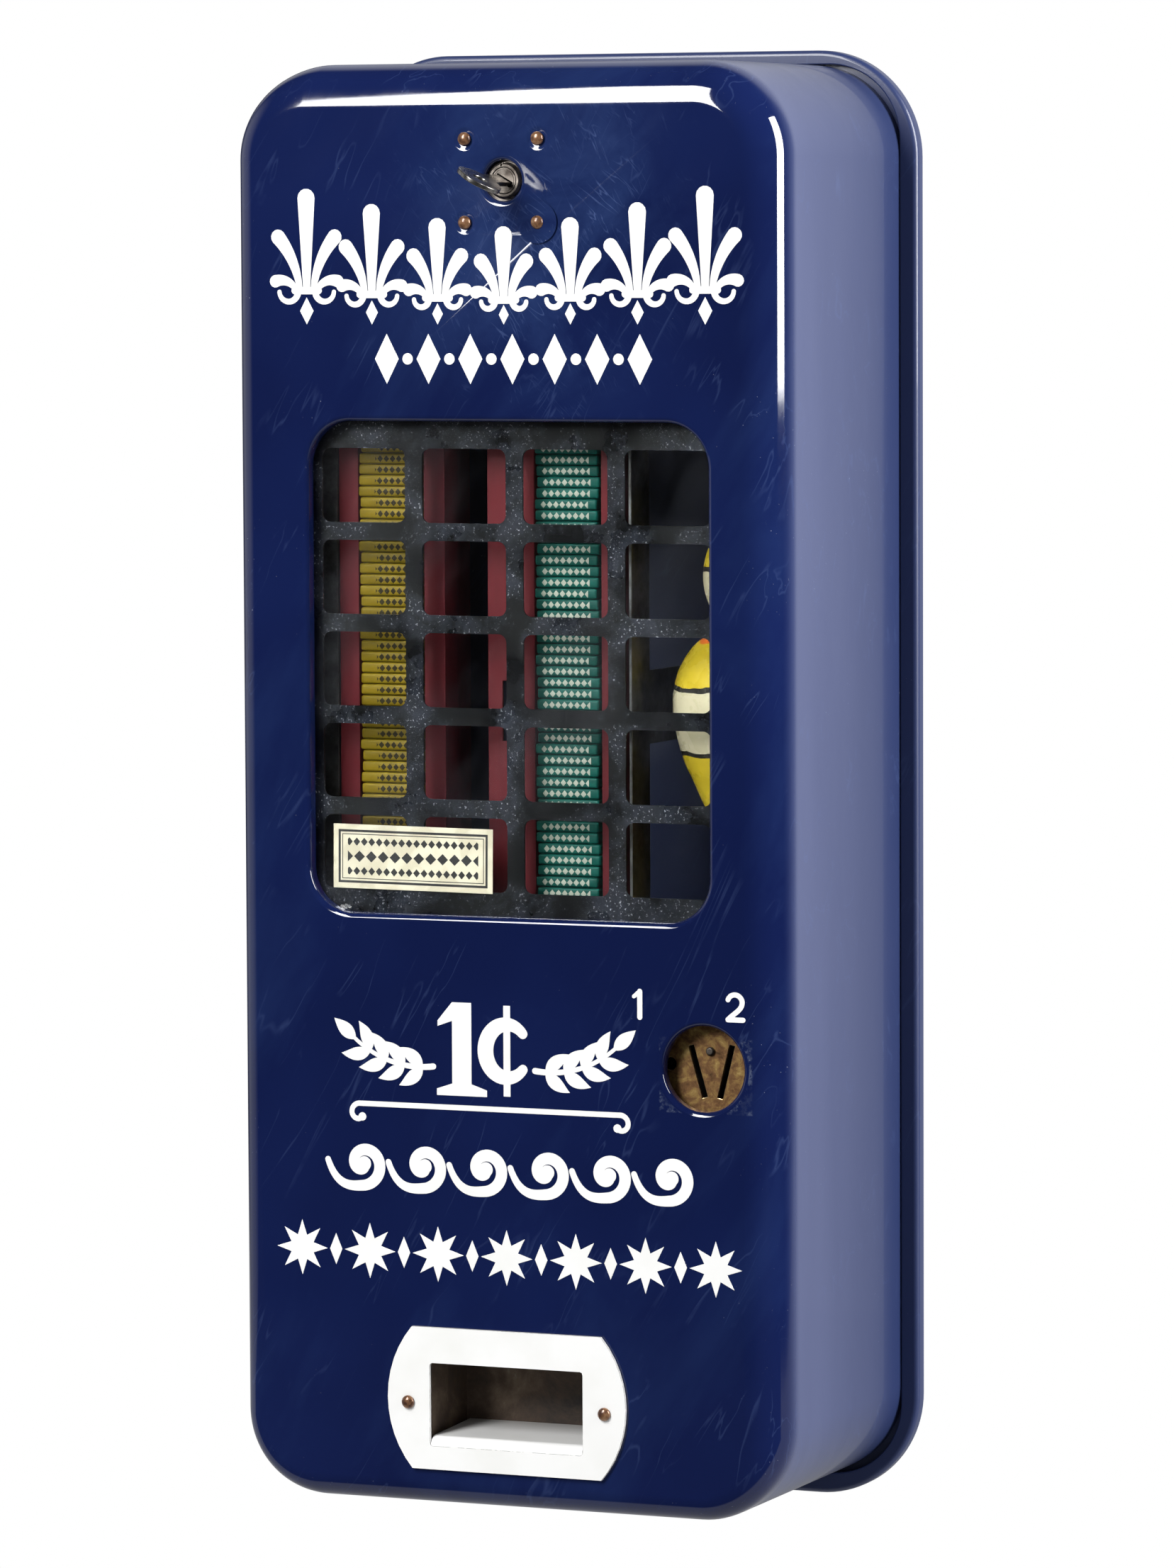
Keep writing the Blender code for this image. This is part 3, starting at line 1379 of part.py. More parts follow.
def make_winding_key():
    """The arbor that the barrel turns on, with the wing that winds the spring."""
    centre = main_arbor()
    x, height = centre
    key = add_object(
        "winding_key",
        rod(*centre, WINDER_R, *in_motor(WINDER), steps=ROUND_STEPS),
        brass(),
        spot(*centre),
        40,
    )
    wing, tip = in_motor(WING)
    outline = [
        (x - WING_SPAN, tip),
        (x - WING_SPAN, wing + WING_SHOULDER),
        (x - WING_SHOULDER, wing),
        (x + WING_SHOULDER, wing),
        (x + WING_SPAN, wing + WING_SHOULDER),
        (x + WING_SPAN, tip),
    ]
    join(key, [plan_prism(outline, height - WING_T / 2, height + WING_T / 2)])


def make_second_wheel():
    centre = second_arbor()
    phase = second_phase()
    pinion_rear, arbor_end = in_motor(CROWN_PINION)
    wheel = add_object(
        "second_wheel",
        rod(*centre, ARBOR_R, MOTOR_BACK_D - FIT, arbor_end),
        steel(),
        spot(*centre),
        40,
    )
    wheel_phase = bearing_angle(centre, fan_arbor())
    outline = gear_outline(centre, SECOND_TEETH, FAN_MODULE, wheel_phase)
    pinion = gear_outline(centre, PINION_LEAVES, MODULE, phase)
    crown_pinion = gear_outline(centre, PINION_LEAVES, MODULE, math.pi / 2)
    join(
        wheel,
        [
            front_prism(outline, *in_motor(SECOND_WHEEL)),
            front_prism(pinion, *in_motor(SECOND_PINION)),
            front_prism(crown_pinion, pinion_rear, arbor_end - FIT),
        ],
    )


def make_fan():
    centre = fan_arbor()
    phase = bearing_angle(centre, second_arbor()) + math.pi / FAN_LEAVES
    fan = add_object(
        "governor_fan",
        rod(*centre, PIVOT_R, MOTOR_BACK_D - FIT, MOTOR_FRONT_D + MOTOR_T + FIT),
        steel(),
        spot(*centre),
        40,
    )
    x, height = centre
    join(
        fan,
        [
            front_prism(
                gear_outline(centre, FAN_LEAVES, FAN_MODULE, phase), *in_motor(FAN_PINION)
            ),
            box(
                (x - FAN_BLADE_R, x + FAN_BLADE_R),
                in_motor(FAN_BLADE),
                (height - FAN_BLADE_T / 2, height + FAN_BLADE_T / 2),
            ),
        ],
    )


# Crown wheel and turntable: an upright shaft carried in a bracket on the clockwork
CROWN_FACE = 0.0024
CROWN_DISC_T = 0.0016
CROWN_TIP_SHARE = 0.09
CROWN_ROOT_SHARE = 0.22
SHAFT_R = 0.0020
SHAFT_TAIL = 0.0012
TABLE_RISE = 0.0490
TABLE_HEIGHT = SECOND_HEIGHT + TABLE_RISE
TABLE_R = 0.0240
TABLE_T = 0.0020
BRACKET_HALF_W = 0.0080
BRACKET_LOW_RISE = 0.0200
BRACKET_HIGH_RISE = 0.0400
BRACKET_FOOT_RISE = 0.0130
BRACKET_REACH = 0.0110
COLLAR_R = 0.0045
COLLAR_H = 0.0040


def crown_levels():
    """Heights of the crown teeth's tips and roots and of the disc's top, over the pinion."""
    pitch_height = SECOND_HEIGHT + pitch_radius(PINION_LEAVES, MODULE)
    root = pitch_height + DEDENDUM_SHARE * MODULE
    return pitch_height - ADDENDUM_SHARE * MODULE, root, root + CROWN_DISC_T


def make_crown_wheel():
    """A wheel with teeth pointing down, bridged section by section round its axis."""
    tip, root, top = crown_levels()
    radius = pitch_radius(CROWN_TEETH, MODULE)
    outer, inner, bore = radius + CROWN_FACE / 2, radius - CROWN_FACE / 2, SHAFT_R + FIT
    tooth_angle = 2 * math.pi / CROWN_TEETH
    shares = (
        (-CROWN_ROOT_SHARE, root),
        (-CROWN_TIP_SHARE, tip),
        (CROWN_TIP_SHARE, tip),
        (CROWN_ROOT_SHARE, root),
    )
    first = math.pi / 2 + tooth_angle / 2
    rings = []
    for tooth in range(CROWN_TEETH):
        for share, low in shares:
            angle = first + tooth_angle * (tooth + share)
            x_run, d_run = math.cos(angle), math.sin(angle)
            section = ((bore, top), (outer, top), (outer, low), (inner, low), (inner, root + FIT))
            rings.append(
                [place(TURN_X + r * x_run, TURN_D - r * d_run, h) for r, h in section]
                + [place(TURN_X + bore * x_run, TURN_D - bore * d_run, root + FIT)]
            )
    add_object(
        "crown_wheel", loft(rings, closed=True), brass(), place(TURN_X, TURN_D, TABLE_HEIGHT)
    )


def make_turntable():
    """The upright shaft with its collar, and the table on top of it."""
    top = crown_levels()[2]
    collar = SECOND_HEIGHT + BRACKET_HIGH_RISE + SHEET + FIT
    profile = [
        (0, top - CROWN_DISC_T - SHAFT_TAIL),
        (SHAFT_R, top - CROWN_DISC_T - SHAFT_TAIL),
        (SHAFT_R, collar),
        (COLLAR_R, collar),
        (COLLAR_R, collar + COLLAR_H),
        (COLLAR_R, TABLE_HEIGHT),
        (TABLE_R, TABLE_HEIGHT),
        (TABLE_R, TABLE_HEIGHT + TABLE_T),
        (0, TABLE_HEIGHT + TABLE_T),
    ]
    add_object(
        "turntable",
        turned(profile, place(TURN_X, TURN_D, 0), "Z", ROUND_STEPS),
        steel(),
        place(TURN_X, TURN_D, TABLE_HEIGHT),
        40,
    )


def make_turntable_bracket():
    """An upright leg on the front motor plate with two bored leaves."""
    foot, tip = MOTOR_FRONT_D + MOTOR_T + FIT, TURN_D + BRACKET_REACH
    low, high = SECOND_HEIGHT + BRACKET_LOW_RISE, SECOND_HEIGHT + BRACKET_HIGH_RISE
    foot_height = SECOND_HEIGHT + BRACKET_FOOT_RISE
    outline = [
        (foot, foot_height),
        (foot + SHEET, foot_height),
        (foot + SHEET, low),
        (tip, low),
        (tip, low + SHEET),
        (foot + SHEET, low + SHEET),
        (foot + SHEET, high),
        (tip, high),
        (tip, high + SHEET),
        (foot, high + SHEET),
    ]
    sides = (TURN_X - BRACKET_HALF_W, TURN_X + BRACKET_HALF_W)
    bracket = add_object("turntable_bracket", side_prism(outline, *sides), steel())
    bore = SHAFT_R + BORE_GAP
    hole = [(0, low - OVERRUN), (bore, low - OVERRUN), (bore, high + OVERRUN), (0, high + OVERRUN)]
    cut(bracket, [turned(hole, place(TURN_X, TURN_D, 0), "Z")])


# Figure: a plain turned doll of two pieces, which stands on the table
BODY_R = 0.0255
BODY_H = 0.1087
BODY_SHARES = (
    (0.463, 0.0),
    (0.471, 0.338),
    (0.647, 0.466),
    (0.871, 0.586),
    (0.988, 0.706),
    (1.0, 0.779),
    (0.910, 0.871),
    (0.667, 0.954),
    (0.333, 1.0),
)
HEAD_R = 0.0150
HEAD_H = 0.0360
HEAD_FLAT_R = 0.0060
HEAD_STEPS = 7


def make_figure():
    origin = place(TURN_X, TURN_D, TABLE_HEIGHT)
    axis = place(TURN_X, TURN_D, 0)
    foot = TABLE_HEIGHT + TABLE_T + FIT
    body = [(r * BODY_R, foot + h * BODY_H) for r, h in BODY_SHARES]
    body = [(0, foot)] + body + [(0, foot + BODY_H)]
    add_object("figure_body", turned(body, axis, "Z"), yellow_tin(), origin, 40)
    chin = foot + BODY_H + FIT
    first = math.asin(HEAD_FLAT_R / HEAD_R)
    middle = chin + HEAD_H / 2
    rise = HEAD_H / 2 / math.cos(first)
    head = [(0, chin)]
    for step in range(HEAD_STEPS + 1):
        angle = first + (math.pi - 2 * first) * step / HEAD_STEPS
        head.append((HEAD_R * math.sin(angle), middle - rise * math.cos(angle)))
    head.append((0, chin + HEAD_H))
    add_object("figure_head", turned(head, axis, "Z"), cream_tin(), origin, 40)


# Coin entry: slotted brass plate, bracket, two runways, trip levers and tray
COIN_PLATE_LEFT = 0.0225
COIN_PLATE_RIGHT = 0.0200
COIN_PLATE_BELOW = 0.0230
COIN_PLATE_ABOVE = 0.0210
COIN_PLATE_TOP = COIN_HEIGHT + COIN_PLATE_ABOVE
COIN_PLATE_SETBACK = 0.0085
COIN_PLATE_D = DEPTH - COIN_PLATE_SETBACK
COIN_PLATE_T = 0.0012
COIN_PLATE_R = 0.0030
COIN_SLOT_W = 0.0020
COIN_RIVET_R = 0.00065
COIN_RIVET_HEAD_R = 0.00165
COIN_RIVET_HEAD_H = 0.0010
COIN_SCREW_HOLE_R = 0.0023
COIN_BRACKET_LEFT = 0.0095
COIN_BRACKET_RIGHT = 0.0223
COIN_BRACKET_RISE = 0.0040
COIN_BRACKET_TAB = 0.0100
COIN_BRACKET_T = 0.0012
RUNWAY_INNER = 0.0024
RUNWAY_T = 0.0007
RUNWAY_SETBACK = 0.0297
RUNWAY_REAR_D = DEPTH - RUNWAY_SETBACK
RUNWAY_RISE = 0.0200
RUNWAY_LOW = MOTOR_LOW + RUNWAY_RISE
TRAY_LEFT_INSET = 0.0022
TRAY_RIGHT_INSET = 0.0008
TRAY_SETBACK = 0.0089
TRAY_DROP = 0.0020
TRAY_H = 0.0260
TRAY_T = 0.0010
TRIP_SETBACK = 0.0284
TRIP_D = DEPTH - TRIP_SETBACK
TRIP_DROP = 0.0080
TRIP_HEIGHT = RUNWAY_LOW - TRIP_DROP
TRIP_PIN_R = 0.0015
TRIP_PIN_REACH = 0.0075
TRIP_HUB_R = 0.0032
TRIP_HUB_W = 0.0042
TRIP_ARM_W = 0.0030
TRIP_ARM_T = 0.0016
TRIP_ARM_L = 0.0155
TRIP_TAIL_L = 0.0065
TRIP_GAP = 0.0003

# Places on the coin plate, from the middle of the coin hole, as shares of the hole's radius.
# A slot's first point is its top end, and its second is where the runway bends straight down.
LEFT_SLOT_SHARES = ((-0.520, 0.487), (-0.1733, -0.713))
RIGHT_SLOT_SHARES = ((0.507, 0.520), (0.200, -0.727))
COIN_RIVET_SHARES = (-0.027, 0.367)
COIN_SCREW_SHARES = (-1.04, 0.04)
RUNWAY_TOP_SHARE = 1.397


def coin_place(shares):
    return COIN_X + shares[0] * COIN_HOLE_R, COIN_HEIGHT + shares[1] * COIN_HOLE_R


def coin_slots():
    return [[coin_place(end) for end in ends] for ends in (LEFT_SLOT_SHARES, RIGHT_SLOT_SHARES)]


def along(start, end, share):
    return tuple(a + (b - a) * share for a, b in zip(start, end))


def strip(line, half):
    """The outline of a band of this half width along a line of (x, height) points."""
    one = folded_sheet(line, half)
    other = folded_sheet(line, -half)
    count = len(line)
    return one[count:] + list(reversed(other[count:]))


def make_coin_plate():
    x0, x1 = COIN_X - COIN_PLATE_LEFT, COIN_X + COIN_PLATE_RIGHT
    h0, h1 = COIN_HEIGHT - COIN_PLATE_BELOW, COIN_PLATE_TOP
    outline = rounded_rect(
        (x1 - x0) / 2, (h1 - h0) / 2, COIN_PLATE_R, (x0 + x1) / 2, (h0 + h1) / 2, HOLE_STEPS
    )
    rear = COIN_PLATE_D - COIN_PLATE_T
    plate = add_object("coin_plate", front_prism(outline, rear, COIN_PLATE_D), brass())
    ends = (rear - OVERRUN, COIN_PLATE_D + OVERRUN)
    cutters = [front_prism(strip(slot, COIN_SLOT_W / 2), *ends) for slot in coin_slots()]
    cutters.append(rod(*coin_place(COIN_SCREW_SHARES), COIN_SCREW_HOLE_R, *ends))
    rivet_place = coin_place(COIN_RIVET_SHARES)
    cutters.append(rod(*rivet_place, COIN_RIVET_R + FIT, *ends))
    cut(plate, cutters)
    head = COIN_PLATE_D + FIT
    profile = [(0, rear - FIT), (COIN_RIVET_R, rear - FIT), (COIN_RIVET_R, head)]
    profile += [(COIN_RIVET_HEAD_R, head)]
    profile += [
        (COIN_RIVET_HEAD_R, head + COIN_RIVET_HEAD_H / 3),
        (COIN_RIVET_HEAD_R * 2 / 3, head + COIN_RIVET_HEAD_H),
        (0, head + COIN_RIVET_HEAD_H),
    ]
    rivet_body = turned(profile, spot(*rivet_place), steps=RIVET_STEPS)
    add_object("coin_plate_rivet", rivet_body, nickel(), spot(*rivet_place), 50)


def make_coin_bracket():
    rear = MOTOR_FRONT_D + MOTOR_T + FIT
    front = COIN_PLATE_D - COIN_PLATE_T - FIT
    x0, x1 = COIN_X + COIN_BRACKET_LEFT, COIN_X + COIN_BRACKET_RIGHT
    line = [(x0, rear), (x1, rear), (x1, front), (x1 - COIN_BRACKET_TAB, front)]
    outline = folded_sheet(line, COIN_BRACKET_T)
    low = MOTOR_LOW + COIN_BRACKET_RISE
    add_object("coin_bracket", plan_prism(outline, low, COIN_PLATE_TOP), steel())


def make_coin_runways():
    front = COIN_PLATE_D - COIN_PLATE_T - FIT
    half = RUNWAY_INNER / 2
    for side, (top, bend) in zip(("left", "right"), coin_slots()):
        start = along(bend, top, RUNWAY_TOP_SHARE)
        line = [start, bend, (bend[0], RUNWAY_LOW)]
        outer = front_prism(strip(line, half + RUNWAY_T), RUNWAY_REAR_D, front)
        runway = add_object("coin_runway_" + side, outer, steel())
        far = [along(bend, start, 2), bend, (bend[0], RUNWAY_LOW - OVERRUN)]
        cut(runway, [front_prism(strip(far, half), RUNWAY_REAR_D + RUNWAY_T, front + OVERRUN)])


def make_trip_levers():
    outer = COIN_X - TRIP_PIN_REACH
    inner = COIN_X + COIN_BRACKET_RIGHT - COIN_BRACKET_T - FIT
    pin = turned(
        [(0, outer), (TRIP_PIN_R, outer), (TRIP_PIN_R, inner), (0, inner)],
        Vector((0, 0, 0)),
        "Z",
        SMALL_STEPS,
    )
    bmesh.ops.rotate(pin, verts=pin.verts, matrix=Matrix.Rotation(math.pi / 2, 3, "Y"))
    bmesh.ops.translate(pin, verts=pin.verts, vec=place(0, TRIP_D, TRIP_HEIGHT))
    add_object("trip_pin", pin, steel(), smooth_angle=40)
    bore, half = TRIP_PIN_R + TRIP_GAP, TRIP_HUB_W / 2
    reach = (TRIP_HUB_R + bore) / 2
    for side, (top, bend) in zip(("left", "right"), coin_slots()):
        centre = place(bend[0], TRIP_D, TRIP_HEIGHT)
        profile = [(bore, -half), (TRIP_HUB_R, -half), (TRIP_HUB_R, half), (bore, half)]
        hub = turned(profile, Vector((0, 0, 0)), "Z", SMALL_STEPS)
        bmesh.ops.rotate(hub, verts=hub.verts, matrix=Matrix.Rotation(math.pi / 2, 3, "Y"))
        bmesh.ops.translate(hub, verts=hub.verts, vec=centre)
        lever = add_object("trip_lever_" + side, hub, brass(), centre, 40)
        x_range = (bend[0] - TRIP_ARM_W / 2, bend[0] + TRIP_ARM_W / 2)
        level = (TRIP_HEIGHT - TRIP_ARM_T / 2, TRIP_HEIGHT + TRIP_ARM_T / 2)
        join(
            lever,
            [
                box(x_range, (TRIP_D + reach, TRIP_D + TRIP_ARM_L), level),
                box(x_range, (TRIP_D - TRIP_TAIL_L, TRIP_D - reach), level),
            ],
        )


def make_coin_tray():
    x_range = (MOTOR_LEFT_X + TRAY_LEFT_INSET, MOTOR_RIGHT_X - TRAY_RIGHT_INSET)
    top, front = MOTOR_LOW - TRAY_DROP, DEPTH - TRAY_SETBACK
    heights = (top - TRAY_H, top)
    tray = add_object("coin_tray", box(x_range, (REAR_D, front), heights), steel())
    inside = box(
        (x_range[0] + TRAY_T, x_range[1] - TRAY_T),
        (REAR_D + TRAY_T, front - TRAY_T),
        (heights[0] + TRAY_T, heights[1] + OVERRUN),
    )
    cut(tray, [inside])


def clear_scene():
    for obj in list(bpy.data.objects):
        bpy.data.objects.remove(obj, do_unlink=True)


def build():
    clear_scene()
    make_back_plate()
    make_cover_hangers()
    make_front_cover()
    make_window_glass()
    make_window_label()
    make_guard_grille()
    make_grille_clips()
    make_lock_plate()
    make_lock_rivets()
    make_lock_barrel()
    make_lock_plug()
    make_lock_cam()
    make_key()
    make_delivery_plate()
    make_delivery_rivets()
    make_catch_bracket()
    make_side_frames()
    make_column_shelf()
    make_columns()
    make_gum_stacks()
    make_followers()
    make_ejectors()
    make_lever_shaft()
    make_push_levers()
    make_delivery_chute()
    make_motor_plates()
    make_spring_barrel()
    make_winding_key()
    make_second_wheel()
    make_fan()
    make_crown_wheel()
    make_turntable()
    make_turntable_bracket()
    make_figure()
    make_coin_plate()
    make_coin_bracket()
    make_coin_runways()
    make_trip_levers()
    make_coin_tray()


build()
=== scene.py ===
# %% [markdown]
# # A wall-hung gum vending machine
# The machine is a drawn steel cover, fired with blue and white enamel, on a dished back plate.
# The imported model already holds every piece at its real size. This lesson dresses it: it gives
# each surface its finish and remodels the pieces whose edges show, and it never moves a piece.

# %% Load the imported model
import json
import math

import bmesh
import bpy
from mathutils import Matrix, Vector, noise

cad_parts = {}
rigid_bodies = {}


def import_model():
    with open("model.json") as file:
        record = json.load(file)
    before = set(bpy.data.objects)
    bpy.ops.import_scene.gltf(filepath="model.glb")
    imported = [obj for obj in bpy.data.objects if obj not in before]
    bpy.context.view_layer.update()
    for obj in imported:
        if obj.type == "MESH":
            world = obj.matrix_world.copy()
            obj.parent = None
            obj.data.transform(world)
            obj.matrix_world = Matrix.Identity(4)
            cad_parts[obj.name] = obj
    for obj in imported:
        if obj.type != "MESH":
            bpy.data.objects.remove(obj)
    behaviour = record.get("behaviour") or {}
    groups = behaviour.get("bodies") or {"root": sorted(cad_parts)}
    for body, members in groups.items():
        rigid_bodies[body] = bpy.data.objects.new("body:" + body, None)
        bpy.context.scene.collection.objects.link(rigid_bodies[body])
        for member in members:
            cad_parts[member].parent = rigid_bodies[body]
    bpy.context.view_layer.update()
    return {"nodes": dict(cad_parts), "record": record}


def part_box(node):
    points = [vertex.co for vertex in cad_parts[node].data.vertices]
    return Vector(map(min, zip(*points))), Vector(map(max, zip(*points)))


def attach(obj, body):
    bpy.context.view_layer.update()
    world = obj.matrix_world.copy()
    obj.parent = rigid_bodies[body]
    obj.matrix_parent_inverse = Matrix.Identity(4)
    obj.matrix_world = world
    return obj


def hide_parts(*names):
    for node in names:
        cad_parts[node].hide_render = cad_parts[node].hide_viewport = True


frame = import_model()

# %% [markdown]
# ## Places
# Measures on this machine are easiest to give as a shop drawing does: across from the middle,
# back from the front face, and up from the cover's lower edge. The cover's own box in the model
# fixes that datum, so that every piece below follows the model.

# %% Datum and units
MM = 0.001
cover_low, cover_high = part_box("front_cover")
FRONT = cover_low.y
BASE = cover_low.z
COVER_W = cover_high.x - cover_low.x
COVER_H = cover_high.z - cover_low.z
SHEET = 1.5 * MM
COVER_R = 33.4 * MM


def at(x, back, up):
    """A point from millimetres across, back from the front face and up from the cover's edge."""
    return Vector((x * MM, FRONT + back * MM, BASE + up * MM))


print("cover", round(COVER_W / MM, 1), "x", round(COVER_H / MM, 1), "mm")

# %% [markdown]
# ## Mesh helpers
# Most pieces here are pressed, turned or folded sheet. Three helpers make those shapes: a loft
# through rings of points, a profile spun round an axis, and an outline pushed along a line.
# A modifier is evaluated and thrown away, so that each finished piece is a plain mesh.

# %% Make and apply


def mesh_object(name, bm, *materials, smooth=None, recalculate=True):
    """Link a finished bmesh as an object, with its doubles merged and its faces outwards."""
    bmesh.ops.remove_doubles(bm, verts=bm.verts, dist=1e-6)
    if recalculate:
        bmesh.ops.recalc_face_normals(bm, faces=bm.faces)
    mesh = bpy.data.meshes.new(name)
    bm.to_mesh(mesh)
    bm.free()
    for mat in materials:
        mesh.materials.append(mat)
    if smooth:
        mesh.shade_smooth()
        mesh.set_sharp_from_angle(angle=math.radians(smooth))
    obj = bpy.data.objects.new(name, mesh)
    bpy.context.scene.collection.objects.link(obj)
    return obj


def applied(obj, smooth=None):
    """Turn the evaluated object into a plain mesh and drop its modifiers."""
    graph = bpy.context.evaluated_depsgraph_get()
    mesh = bpy.data.meshes.new_from_object(obj.evaluated_get(graph), depsgraph=graph)
    obj.modifiers.clear()
    obj.data = mesh
    if smooth:
        mesh.shade_smooth()
        mesh.set_sharp_from_angle(angle=math.radians(smooth))
    return obj


def settle(obj, body, slot, *stands_for):
    """Say which body a finished piece rides on, and hide what it stands for; the slot is not used."""
    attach(obj, body)
    if stands_for:
        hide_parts(*stands_for)
    return obj


def evened(obj, smooth=35):
    """Smooth shading that keeps flat faces flat beside their rounded edges."""
    obj.data.shade_smooth()
    obj.data.set_sharp_from_angle(angle=math.radians(smooth))
    weighted = obj.modifiers.new("even shading", "WEIGHTED_NORMAL")
    weighted.keep_sharp = True
    weighted.mode = "FACE_AREA"
    graph = bpy.context.evaluated_depsgraph_get()
    mesh = bpy.data.meshes.new_from_object(obj.evaluated_get(graph), depsgraph=graph)
    obj.modifiers.clear()
    obj.data = mesh
    return obj


# %% Outlines, lofts and turnings


def rounded(half_w, half_h, radius, x=0.0, up=0.0, steps=24):
    """(across, up) points round a rectangle with round corners."""
    points = []
    for quarter, (sx, sh) in enumerate(((1, 1), (-1, 1), (-1, -1), (1, -1))):
        for step in range(steps + 1):
            angle = math.pi / 2 * (quarter + step / steps)
            points.append(
                (
                    x + sx * (half_w - radius) + radius * math.cos(angle),
                    up + sh * (half_h - radius) + radius * math.sin(angle),
                )
            )
    return points


def loft(rings, closed=False):
    """Quads between rings of equally many points, capped unless the last ring meets the first."""
    bm = bmesh.new()
    loops = [[bm.verts.new(point) for point in ring] for ring in rings]
    pairs = list(zip(loops, loops[1:]))
    if closed:
        pairs.append((loops[-1], loops[0]))
    for one, other in pairs:
        for i in range(len(one)):
            j = (i + 1) % len(one)
            bm.faces.new((one[i], one[j], other[j], other[i]))
    if not closed:
        bm.faces.new(loops[0])
        bm.faces.new(loops[-1])
    return bm


def turned(profile, centre, axis="Y", steps=64):
    """Spin a profile of (radius, forwards or upwards) millimetres about an axis through centre."""
    bm = bmesh.new()
    run = Vector((0, -1, 0)) if axis == "Y" else Vector((0, 0, 1))
    verts = [bm.verts.new(centre + Vector((r * MM, 0, 0)) + run * (a * MM)) for r, a in profile]
    edges = [bm.edges.new(pair) for pair in zip(verts, verts[1:])]
    if profile[0][0] > 0:
        edges.append(bm.edges.new((verts[-1], verts[0])))
    bmesh.ops.spin(
        bm,
        geom=verts + edges,
        cent=centre,
        axis=Vector((0, 1, 0)) if axis == "Y" else Vector((0, 0, 1)),
        angle=2 * math.pi,
        steps=steps,
        use_merge=True,
    )
    return bm


def slab(outline, back_front, back_rear):
    """An (across, up) outline in millimetres, filled and given a thickness along Y."""
    bm = bmesh.new()
    face = bm.faces.new([bm.verts.new(at(x, back_front, up)) for x, up in outline])
    made = bmesh.ops.extrude_face_region(bm, geom=[face])
    moved = [part for part in made["geom"] if isinstance(part, bmesh.types.BMVert)]
    bmesh.ops.translate(bm, verts=moved, vec=(0, (back_rear - back_front) * MM, 0))
    return bm


def cut(obj, *cutters, operation="DIFFERENCE"):
    """Take each cutter out of a piece, or join it on, and remove the cutter."""
    for number, bm in enumerate(cutters):
        cutter = mesh_object(f"{obj.name}_cutter_{number}", bm)
        modifier = obj.modifiers.new("cut", "BOOLEAN")
        modifier.operation = operation
        modifier.object = cutter
        applied(obj)
        bpy.data.objects.remove(cutter)
    return obj


def bevelled(obj, width, segments=2, angle=35, material=-1):
    """Round off a piece's sharp edges, in another of its materials if that is asked for."""
    modifier = obj.modifiers.new("edges", "BEVEL")
    modifier.width = width * MM
    modifier.segments = segments
    modifier.limit_method = "ANGLE"
    modifier.angle_limit = math.radians(angle)
    modifier.material = material
    modifier.use_clamp_overlap = True
    return applied(obj)


# %% [markdown]
# ## Finishes
# Each finish is a Principled shader whose colour, roughness and bump come from noise on the
# piece's own coordinates. Fired enamel is the hardest to get right: it is a deep, even colour
# under a mirror gloss, and only the slow waves in its surface and a haze of fine rubbing tell
# the eye that it is glass on steel and not paint. Worn metal needs the reverse: patches of
# several colours, and roughness that changes with them.

# %% A small shader kit


